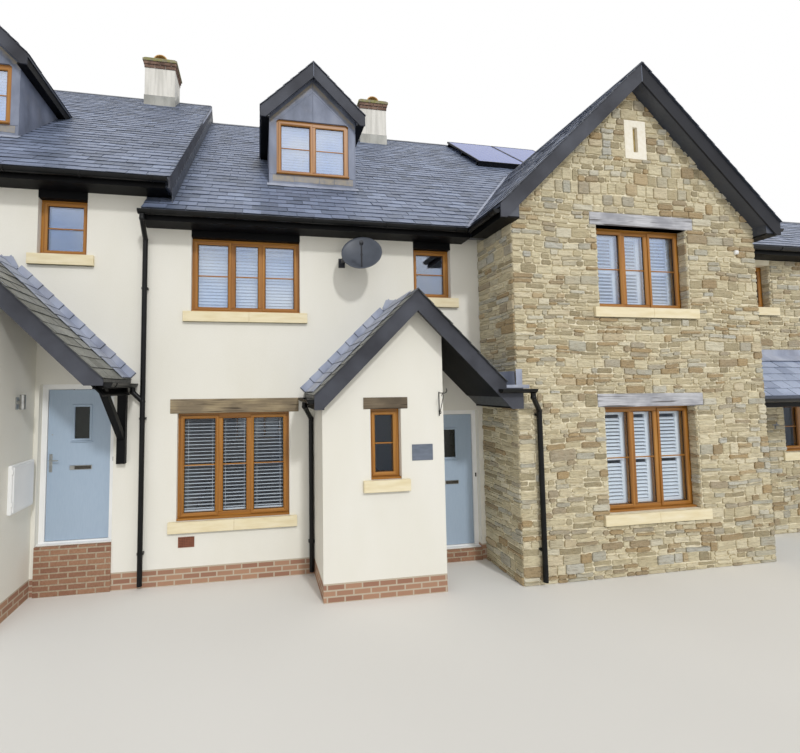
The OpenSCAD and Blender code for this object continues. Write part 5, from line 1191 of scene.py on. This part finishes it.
def closed(bm, rings):
    """Skins a row of equal rings of points and closes both ends."""
    rings = [[bm.verts.new(p) for p in ring_points] for ring_points in rings]
    for low, top in zip(rings, rings[1:]):
        for k in range(len(low)):
            m = (k + 1) % len(low)
            bm.faces.new([low[k], low[m], top[m], top[k]])
    bm.faces.new(rings[0][::-1])
    bm.faces.new(rings[-1])


def turned(centre, side, other, radius, sides):
    """A ring of points round a centre, from its two directions."""
    angles = [2 * math.pi * k / sides for k in range(sides)]
    return [centre + (side * math.cos(a) + other * math.sin(a)) * radius for a in angles]


def rod(bm, points, radius, sides=10):
    """A round bar bent along some points, closed at both ends."""
    points = [Vector(p) for p in points]
    rings, side = [], None
    for i, p in enumerate(points):
        run = (points[min(i + 1, len(points) - 1)] - points[max(i - 1, 0)]).normalized()
        side = (side - run * side.dot(run)).normalized() if side else run.orthogonal().normalized()
        rings.append(turned(p, side, run.cross(side), radius, sides))
    closed(bm, rings)


def drum(bm, centre, axis, radius, length, sides=32, edge=0.0):
    """A short round part along an axis, its rims eased."""
    axis = axis.normalized()
    side = axis.orthogonal().normalized()
    rows = [(0, radius), (length, radius)]
    if edge:
        rows = [(0, radius - edge), (edge, radius), (length - edge, radius), (length, radius - edge)]
    closed(bm, [turned(centre + axis * d, side, axis.cross(side), r, sides) for d, r in rows])


brown_steel = surface("tarnished_flap", 0.4, [((0.04, 4), (0.3, "#3d3a35"), (0.7, "#5a564f"))], Metallic=0.8)
# The small door pane is an opaque, near black surface: painted shade of the unlit hall behind it.
pane_painted_dark = surface("door_pane_painted_dark", 0.12, [((0.3,), (0.3, "#0d100f"), (0.7, "#242a27"))], [((0.006, 2), 0.0006)],
                  Specular_IOR_Level=0.4)
leaf_y, pane = 0.112, (4.451, 1.560, 4.638, 1.991)


def door_furniture(name, house, body, place=Matrix()):
    """What is fixed on a door: bead and drip rail, small pane, handle, lock, letter plate and its flap."""
    bead, glazing, steel, flap = [bmesh.new() for _ in range(4)]
    layer = bead.loops.layers.uv.new("grain")
    x0, z0, x1, z1 = pane
    ring(bead, layer, (x0 - 0.032, z0 - 0.032, x1 + 0.032, z1 + 0.032),
         [(0, 0.004), (0, -0.006), (0.008, -0.012), (0.020, -0.012), (0.032, -0.003), (0.032, 0.004)], house, leaf_y)
    blocks(bead, house, (x0 - 0.05, leaf_y - 0.016, z0 - 0.052, x1 + 0.05, leaf_y + 0.004, z0 - 0.036, 0.004))
    front, rear = (0.124, 0.148) if body != "house" else (0.108, 0.120)
    blocks(glazing, house, (x0, front, z0, x1, rear, z1, 0.001))
    blocks(steel, house, (4.401, 0.104, 1.140, 4.681, 0.113, 1.200, 0.003), (4.412, 0.099, 1.146, 4.462, 0.105, 1.194, 0.002),
           (4.146, 0.104, 1.120, 4.186, 0.113, 1.360, 0.004))
    lever = [(4.166, 0.106, 1.280), (4.166, 0.066, 1.280), (4.170, 0.060, 1.280), (4.180, 0.058, 1.280),
             (4.275, 0.058, 1.277)]
    rod(steel, [at(*p, house) for p in lever], 0.0075, 14)
    drum(steel, at(4.166, 0.105, 1.205, house), -back, 0.013, 0.006, 20, 0.001)
    for z in (1.135, 1.345):
        drum(steel, at(4.166, 0.105, z, house), -back, 0.004, 0.0025, 12)
    drum(steel, at(4.176, leaf_y + 0.001, 1.62, house), -back, 0.008, 0.005, 16, 0.001)
    blocks(flap, house, (4.466, 0.098, 1.148, 4.670, 0.106, 1.192, 0.003))
    found = []
    for bm, part, finish, slot in (
            (bead, "bead", blue_foil, "door_blue"), (glazing, "pane", pane_painted_dark, "glass"),
            (steel, "handle_and_plate", satin_steel, "fittings"), (flap, "letter_flap", brown_steel, "fittings")):
        bmesh.ops.transform(bm, matrix=place, verts=bm.verts)
        found.append(made(f"{name}_{part}", bm, finish, body))
    return found


for house, name in ((0, "middle_door"), (1, "left_door")):
    bead, glazing, steel, flap = door_furniture(name, house, name + "_leaf")
    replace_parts(glazing, name + "_fittings")
    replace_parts(steel, name + "_fittings")
fixed_out, door_x = 0.022, 4.051
door_furniture("range_door", 0, "house", Matrix.Translation((9.660 - door_x, -fixed_out, 0)))
for house, start, name in house_bays:
    place = half_turn(house) @ Matrix.Translation((-start - 3.832 - door_x, -depth - fixed_out, 0))
    door_furniture(name + "_rear_door", house, "house", place)


# Door steps. Reddish brown bricks laid in courses in pale mortar under a white threshold, and
# dirtied here and there.
def step_bricks(tree):
    """The plinth's bricks, their courses running on over the treads."""
    return brickwork(tree, steps=True)


def step_joints(tree):
    """The joints between those bricks."""
    return step_bricks(tree).outputs["Fac"]


dress(surface("reddish_step_brick", 0.85, [(step_bricks,), ((0.02, 4), "#c9b8a4", "MULTIPLY")],
              [((0.006, 3), 0.001), (step_joints, -0.004)]), "door_steps")


# Chimneys. Block stacks in cream render that rain has streaked grey, two courses of brown bricks
# that step out below a mossy cast slab, a clay ridge tile as a cowl, and a lead apron at the foot.
streaked = surface("streaked_chimney_render", 0.93, [
    (None, "#e8e5dd"), ((0.07, 5, (1, 1, 14)), (0.36, "#000000"), (0.64, "#b0b0b0"), "#a9a79e")],
    [((0.004, 3), 0.0015)], IOR=1.45)
old_brick = surface("weathered_brown_brick", 0.9, [
    ((0.12, 3), (0.3, "#5b463c"), (0.5, "#7b6153"), (0.75, "#94796a")),
    ((0.02, 4), (0.4, "#000000"), (0.8, "#808080"), "#3b332c")],
    [((0.008, 4), 0.002)])
moss = (0.06, 5)
mossy_slab = surface("mossy_cast_slab", 0.95, [
    ((0.1, 4), (0.3, "#7f7862"), (0.7, "#a39c83")), (moss, (0.42, "#000000"), (0.6, "#d8d8d8"), "#8a8a42")], [(moss, 0.012)])
clay = surface("salt_glazed_clay", 0.6, [((0.09, 4), (0.3, "#b98a4e"), (0.7, "#d9b173"))], [((0.01, 3), 0.001)])
stack, bricks, tops, cowls, aprons = [bmesh.new() for _ in range(5)]
rng = random.Random(31)
for house in (0, 1):
    shape = [(4.09, 9.03), (4.627, 9.51), (4.69, 9.46), (4.69, 10.01), (4.09, 10.01)]
    slab(stack, [at(stack_x0, y, z, house) for y, z in shape], right * (stack_x1 - stack_x0))
    blocks(stack, house, (4.197, 4.08, 9.318, 4.920, 4.10, 9.340, 0.004))
    for course, out in ((0, 0.016), (1, 0.032)):
        z = 10.010 + 0.080 * course
        x0, x1, y0, y1 = stack_x0 - out, stack_x1 + out, stack_y0 - out, stack_y1 + out
        for a, b, along_x in ((x0, x1, True), (y0 + 0.105, y1 - 0.105, False)):
            count = round((b - a) / 0.225)
            joints = [a + (b - a) * (k + (0.5 if course and 0 < k < count else 0)) / count for k in range(count)] + [b]
            for left, end in zip(joints, joints[1:]):
                for near, far in (((y0, y0 + 0.100), (y1 - 0.100, y1)) if along_x else ((x0, x0 + 0.100), (x1 - 0.100, x1))):
                    low, top = (left + 0.005, near), (end - 0.005, far)
                    low, top = (low, top) if along_x else (low[::-1], top[::-1])
                    blocks(bricks, house, (*low, z + 0.005, *top, z + 0.075 + rng.uniform(-0.002, 0.002), 0.004))
    blocks(stack, house, (stack_x0, stack_y0, 10.005, stack_x1, stack_y1, 10.171))
    slope = [(4.159, 10.170), (4.958, 10.170), (4.958, 10.215), (4.90, 10.240), (4.217, 10.240), (4.159, 10.215)]
    slab(tops, [at(x, 4.042, z, house) for x, z in slope], back * 0.696)
    arch = [(math.cos(math.pi * k / 16), math.sin(math.pi * k / 16)) for k in range(17)]
    rim = [(0.165 * c, 0.150 * s) for c, s in arch] + [(0.143 * c, 0.130 * s) for c, s in arch[::-1]]
    slab(cowls, [at(4.5585 + x, 4.106, 10.240 + z, house) for x, z in rim], back * 0.568)
    blocks(aprons, house, (4.195, 4.0835, 9.07, 4.922, 4.0900, 9.318, 0.001),
           *[(x - 0.006, 4.079, 9.07, x + 0.006, 4.086, 9.318, 0.002) for x in (4.44, 4.68)])
    step = 0.134
    for x, out in ((stack_x0, -0.005), (stack_x1, 0.005)):
        for k in range(4):
            y, z = stack_y0 + step * k, 9.072 + step * k * pitch
            steps = [(y, z - 0.02), (y + step, z + step * pitch - 0.02), (y + step, z + step * pitch + 0.11),
                     (y, z + step * pitch + 0.11)]
            slab(aprons, [at(x, py, pz, house) for py, pz in steps], right * out)
for bm, part, finish in ((stack, "stacks", streaked), (bricks, "bricks", old_brick), (tops, "slabs", mossy_slab),
                         (cowls, "cowls", clay), (aprons, "leads", grey_lead)):
    bmesh.ops.recalc_face_normals(bm, faces=bm.faces)
    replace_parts(made("chimney_" + part, bm, finish), "chimneys")


# Solar panels. Two black-framed panels of dark silicon cells under toughened glass, hooked on
# rails just above the slates, with a black skirt below them. The cells are painted light blues as a
# painted reflection of the sky, and their own gloss is kept low.
def cell_grid_painted_sky(tree):
    """Square cells 164 mm wide with pale lines between them, in light blues that are painted reflection of the sky."""
    return add(tree, "ShaderNodeTexBrick", {
        "Vector": add(tree, "ShaderNodeUVMap", uv_map="cells"), "Color1": linear("#5f70ae"), "Color2": linear("#6676b5"),
        "Mortar": linear("#8f9bc6"), "Scale": 1.0, "Mortar Size": 0.003, "Brick Width": 0.164, "Row Height": 0.164},
        offset=0.0)


cells = surface("solar_cells_painted_sky_blue", 0.2, [(cell_grid_painted_sky,)], Specular_IOR_Level=0.15)
anodised = surface("black_anodised_frame", 0.4, [((0.2,), (0.3, "#15161a"), (0.7, "#202227"))], Metallic=0.8)
lay = Matrix.Translation(at(6.800, 2.880, eaves_z + pitch * 2.880)) @ Matrix.Rotation(math.radians(42), 4, "X")
bm, sheets = bmesh.new(), bmesh.new()
layer = sheets.loops.layers.uv.new("cells")
for k in (0, 1):
    x0, x1, z0, z1 = 1.340 * k, 1.340 * k + 1.320, 0.090, 0.130
    for low, top in (((x0, 0, z0), (x1, 0.03, z1)), ((x0, 2.15, z0), (x1, 2.18, z1)), ((x0, 0.03, z0), (x0 + 0.03, 2.15, z1)),
                     ((x1 - 0.03, 0.03, z0), (x1, 2.15, z1))):
        block(bm, low, top, 0.002)
    glazed = [(x, y, 0.1) for x, y in oblong(x0 + 0.028, 0.028, x1 - 0.028, 2.152)]
    for face in slab(sheets, glazed, high * 0.026):
        for loop in face.loops:
            loop[layer].uv = (loop.vert.co.x - x0, loop.vert.co.y)
for y in (0.109, 1.09, 2.071):
    block(bm, (0, y - 0.02, 0.0005), (2.660, y + 0.02, 0.090), 0.003)
block(bm, (0, 0.002, 0.006), (2.660, 0.010, 0.090), 0.001)
for part in (bm, sheets):
    bmesh.ops.transform(part, matrix=lay, verts=part.verts)
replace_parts(made("solar_panel_frames", bm, anodised), "solar_panels")
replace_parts(made("solar_panel_glass", sheets, cells), "solar_panels")


# Satellite dish. A pressed steel bowl coated dark grey, its rim rolled, on a bent tube from the
# wall; an arm from its foot holds the receiver in front of it.
dish_coat = surface("grey_dish_coating", 0.45, [((0.2, 3), (0.3, "#393f49"), (0.7, "#464c57"))])
dark_coat = surface("dark_arm_coating", 0.5, [((0.06, 3), (0.3, "#25272d"), (0.7, "#33363d"))])
turn = Matrix.Rotation(math.radians(-15), 4, "Z") @ Matrix.Rotation(math.radians(66), 4, "X")
turn = Matrix.Translation(at(3.041, -0.330, 4.600)) @ turn
bm = bmesh.new()
inner = [(0.290 * k / 10, 0.050 * (k / 10) ** 2 + 0.002) for k in range(1, 11)]
profile = inner + [(0.294, 0.050), (0.294, 0.046)] + [(r, z - 0.006) for r, z in inner[::-1]]
closed(bm, [turned(Vector((0, 0, z)), right, back, r, 48) for r, z in profile])
bmesh.ops.recalc_face_normals(bm, faces=bm.faces)
bmesh.ops.transform(bm, matrix=turn, verts=bm.verts)
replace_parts(made("dish_bowl", bm, dish_coat, smooth=True), "satellite_dish")
bm = bmesh.new()
lean = math.radians(38)
foot = Vector((0, -0.257, 0.042))
arm_end = foot + Vector((0, math.sin(lean), math.cos(lean))) * 0.33
rod(bm, [foot, arm_end], 0.011, 12)
drum(bm, arm_end - Vector((0, 0, 0.028)), high, 0.028, 0.056, 24, 0.004)
rod(bm, [Vector((0, 0, 0.003)), Vector((0, 0, -0.060))], 0.022, 16)
block(bm, (-0.06, -0.08, -0.014), (0.06, 0.08, -0.002), 0.004)
bmesh.ops.transform(bm, matrix=turn, verts=bm.verts)
tube = [(3.041, -0.26, 4.57), (3.02, -0.22, 4.56), (2.86, -0.215, 4.56), (2.82, -0.20, 4.56), (2.81, -0.17, 4.56),
        (2.81, 0, 4.56)]
rod(bm, [turn @ Vector((0, 0, -0.055)), *[at(*p) for p in tube]], 0.017, 14)
blocks(bm, 0, (2.76, -0.010, 4.49, 2.86, 0, 4.63, 0.002), (2.775, -0.235, 4.53, 2.855, -0.16, 4.59, 0.006))
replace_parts(made("dish_arm_and_mount", bm, dark_coat), "satellite_dish")


# Wall fittings. A white meter cupboard and a steel lamp on the left porch, a bare slate plate
# on the middle one, a forged bracket beside its door, a number tile and an alarm sensor.
white_plastic = surface("white_moulded_plastic", 0.4, [((0.3, 3), (0.3, "#ebecec"), (0.7, "#f4f4f3"))], IOR=1.46)
plate_slate = surface("honed_slate_plate", 0.4, [((0.05, 5, (3, 1, 1)), (0.3, "#5d6674"), (0.7, "#6f7887"))],
                      [((0.01, 3), 0.0008)])
iron = surface("black_forged_iron", 0.5, [((0.03, 3), (0.3, "#141416"), (0.7, "#262628"))], Metallic=0.7)
bm = bmesh.new()
blocks(bm, 1, (3.999, -0.552, 0.750, 4.045, -0.060, 1.330, 0.008), (4.044, -0.530, 0.772, 4.059, -0.082, 1.308, 0.006),
       *[(4.040, -0.556, z, 4.058, -0.545, z + 0.05, 0.003) for z in (0.85, 1.23)])
drum(bm, at(4.058, -0.120, 1.04, 1), right, 0.012, 0.004, 20, 0.001)
blocks(bm, 0, (8.840, wing_face - 0.045, 4.680, 8.900, wing_face, 4.740, 0.008))
drum(bm, at(8.870, wing_face - 0.040, 4.700), -back, 0.016, 0.014, 20, 0.005)
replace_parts(made("meter_box_and_sensor", bm, white_plastic), "wall_fittings")
bm = bmesh.new()
blocks(bm, 1, (3.999, -0.452, 1.990, 4.011, -0.388, 2.140, 0.003), (4.011, -0.436, 2.05, 4.043, -0.404, 2.10, 0.003))
drum(bm, at(4.067, -0.420, 1.990, 1), high, 0.032, 0.180, 32, 0.003)
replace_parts(made("wall_lamp", bm, satin_steel), "wall_fittings")
bm = bmesh.new()
blocks(bm, 0, (3.548, -0.857, 1.709, 3.837, -0.849, 1.919, 0.003), (10.730, -0.008, 1.850, 10.880, 0, 1.970, 0.002))
for z in (1.724, 1.904):
    for x in (3.565, 3.820):
        drum(bm, at(x, -0.8565, z), -back, 0.005, 0.002, 12)
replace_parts(made("house_plates", bm, plate_slate), "wall_fittings")
bm = bmesh.new()
blocks(bm, 0, (3.935, -0.855, 2.285, 3.949, -0.849, 2.605, 0.002))
hook = [(-0.855, 2.590), (-1.02, 2.590), (-1.07, 2.600), (-1.090, 2.625), (-1.075, 2.648)]
curl = [(-0.865 - 0.011 * t, 2.33 + 0.014 * t + 0.0006 * t * t) for t in range(0, 10)]
curl += [(-0.985, 2.55), (-0.975, 2.575), (-0.952, 2.580), (-0.94, 2.562), (-0.950, 2.546)]
foot = [(-0.865, 2.33), (-0.885, 2.315), (-0.905, 2.325), (-0.903, 2.345), (-0.888, 2.348)]
for line, radius in ((hook, 0.006), (curl, 0.005), (foot, 0.005)):
    rod(bm, [at(3.942, y, z) for y, z in line], radius, 8)
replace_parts(made("forged_bracket", bm, iron), "wall_fittings")


# Small leads. The apron and gutter between the middle porch roof and the stone gable, and the
# sheets that clad the dormer fronts, with welts at the middle and the head and a thin apron.
bm = bmesh.new()
blocks(bm, 0, (4.740, -1.040, 2.664, 5.060, -0.001, 2.674, 0.002), (5.028, -0.903, 2.672, 5.034, -0.001, 2.88, 0.002),
       (5.028, -0.940, 2.660, 5.122, -0.934, 2.905, 0.002), (4.735, -1.046, 2.640, 5.150, -1.041, 2.690, 0.001))
made("ledge_leads", bm, lead)
bm, apron = bmesh.new(), bmesh.new()
for house in (0, 1):
    blocks(bm, house, (2.489, 0.814, 7.302, 2.501, 0.821, 8.08, 0.002), (1.738, 0.8145, 7.300, 3.252, 0.821, 7.310, 0.002),
           (1.738, 0.8145, 6.318, 1.8635, 0.821, 6.327, 0.002), (3.1265, 0.8145, 6.318, 3.252, 0.821, 6.327, 0.002),
           (1.738, 0.8135, 6.10, 1.750, 0.821, 7.30, 0.002), (3.240, 0.8135, 6.10, 3.252, 0.821, 7.30, 0.002))
    for i in range(7):
        x = 1.70 + 0.226 * i
        shape = oblong(x, 0.735 - 0.012 * (i % 2), x + 0.232, 0.822)
        slab(apron, [at(px, y, main_z(y) + 0.030, house) for px, y in shape], high * (0.004 + 0.002 * (i % 2)))
made("dormer_welts", bm, cladding)
bm = bmesh.new()
mark, front = bm.verts.layers.float.new("tone"), 0.8195
for house in (0, 1):
    for side in (-1, 1):
        end, fall = dormer_x + side * 0.755, 0.755 * wing_slope
        line = [(dormer_x, 8.02), (end, 8.02 - fall), (end, 7.88 - fall), (dormer_x, 7.84)]
        for face in slab(bm, [at(x, front, z, house) for x, z in line], back * -0.0025):
            for corner in face.verts:
                x, z = corner.co.x - at(dormer_x, 0, 0, house).x, corner.co.z - at(0, 0, 8.02, house).z
                corner[mark] = 1.0 if z + abs(x) * wing_slope > -0.05 else 0.0
    for i, (x, end) in enumerate(((1.80, 2.16), (2.17, 2.60), (2.61, 2.86), (2.87, 3.20))):
        outline = [(x, 6.20 + 0.01 * (i % 2)), (end, 6.20), (end, 6.312), (x, 6.312)]
        for face in slab(bm, [at(*p, house) for p in ((x, front, z) for x, z in outline)], back * -0.0035):
            for corner in face.verts:
                corner[mark] = 0.75
made("dormer_patches", bm, cladding)
made("dormer_aprons", apron, lead)


# Air bricks. A square-holed terracotta grille built into the front wall of each rendered house
# just below the sill, with a black plate behind its holes as painted shade, and a black bell push on the frame of each
# front door.
terracotta = surface("terracotta", 0.85, [((0.05, 4), (0.3, "#7d4a35"), (0.7, "#985f47"))], [((0.004, 3), 0.0006)])
bm, dark = bmesh.new(), bmesh.new()
for house in (0, 1):
    x0, x1, z0, z1, thick = 0.475, 0.690, 0.500, 0.640, 0.010
    blocks(bm, house, *[(x, -0.008, z0, x + thick, 0, z1) for x in (x0 + (x1 - x0 - thick) * k / 9 for k in range(10))],
           *[(x0, -0.0075, z, x1, 0, z + thick) for z in (z0 + (z1 - z0 - thick) * k / 6 for k in range(7))])
    # The first block is a black plate in the grille's holes: painted shade of the cavity behind.
    blocks(dark, house, (x0 + 0.003, -0.003, z0 + 0.003, x1 - 0.003, 0, z1 - 0.003),
           (4.950, 0.085, 1.245, 4.972, 0.092, 1.305, 0.002))
made("air_bricks", bm, terracotta)
made("air_brick_shade_plates_and_bells", dark, gasket)


# Studio. A plain pale floor, a white surround that lights the row evenly, and one wide soft lamp
# from the street side. The camera stands where the photograph was taken, before the middle house.
floor_mesh = bpy.data.meshes.new("studio_floor")
floor_mesh.from_pydata([(-120, -120, 0), (120, -120, 0), (120, 120, 0), (-120, 120, 0)], [], [(0, 1, 2, 3)])
floor = placed("studio_floor", floor_mesh)
floor.data.materials.append(surface("pale_studio_floor", 0.9, [((3.0,), (0.3, "#e3e1dc"), (0.7, "#e8e6e1"))]))

world = bpy.data.worlds.new("studio")
bpy.context.scene.world = world
world.use_nodes = True
tree = world.node_tree
paths = add(tree, "ShaderNodeLightPath")
camera_ray, mirror_ray, glass_ray = [paths.outputs[f"Is {kind} Ray"] for kind in ("Camera", "Glossy", "Transmission")]
seen = ("MAXIMUM", ("MAXIMUM", camera_ray, mirror_ray), glass_ray)
strength = add(tree, "ShaderNodeMapRange", {0: seen, 3: 0.77, 4: 1.0})
surround = tree.nodes["Background"]
surround.inputs["Color"].default_value = (1, 1, 1, 1)
tree.links.new(strength.outputs[0], surround.inputs["Strength"])

lamp = bpy.data.lights.new("soft_lamp", "SUN")
lamp.energy, lamp.angle = 1.15, math.radians(5)
placed("soft_lamp", lamp).rotation_euler = Vector((-0.22, 1.0, -0.78)).to_track_quat("-Z", "Y").to_euler()

camera = bpy.data.cameras.new("camera")
camera.sensor_width, camera.lens = 36.0, 412.43 / 800 * 36.0
camera.shift_x, camera.shift_y = (400 - 327.95) / 800, (362.02 - 376.5) / 800
camera.clip_start, camera.clip_end = 0.05, 500
viewer = placed("camera", camera)
yaw, lift, roll = 0.169, 0.060, -0.009
aim = Vector((math.sin(yaw) * math.cos(lift), math.cos(yaw) * math.cos(lift), math.sin(lift)))
turn = aim.to_track_quat("-Z", "Y").to_matrix().to_4x4() @ Matrix.Rotation(roll, 4, "Z")
viewer.matrix_world = Matrix.Translation(at(1.550, -6.064, 2.685)) @ turn
bpy.context.scene.camera = viewer
bpy.context.scene.view_settings.view_transform = "Standard"
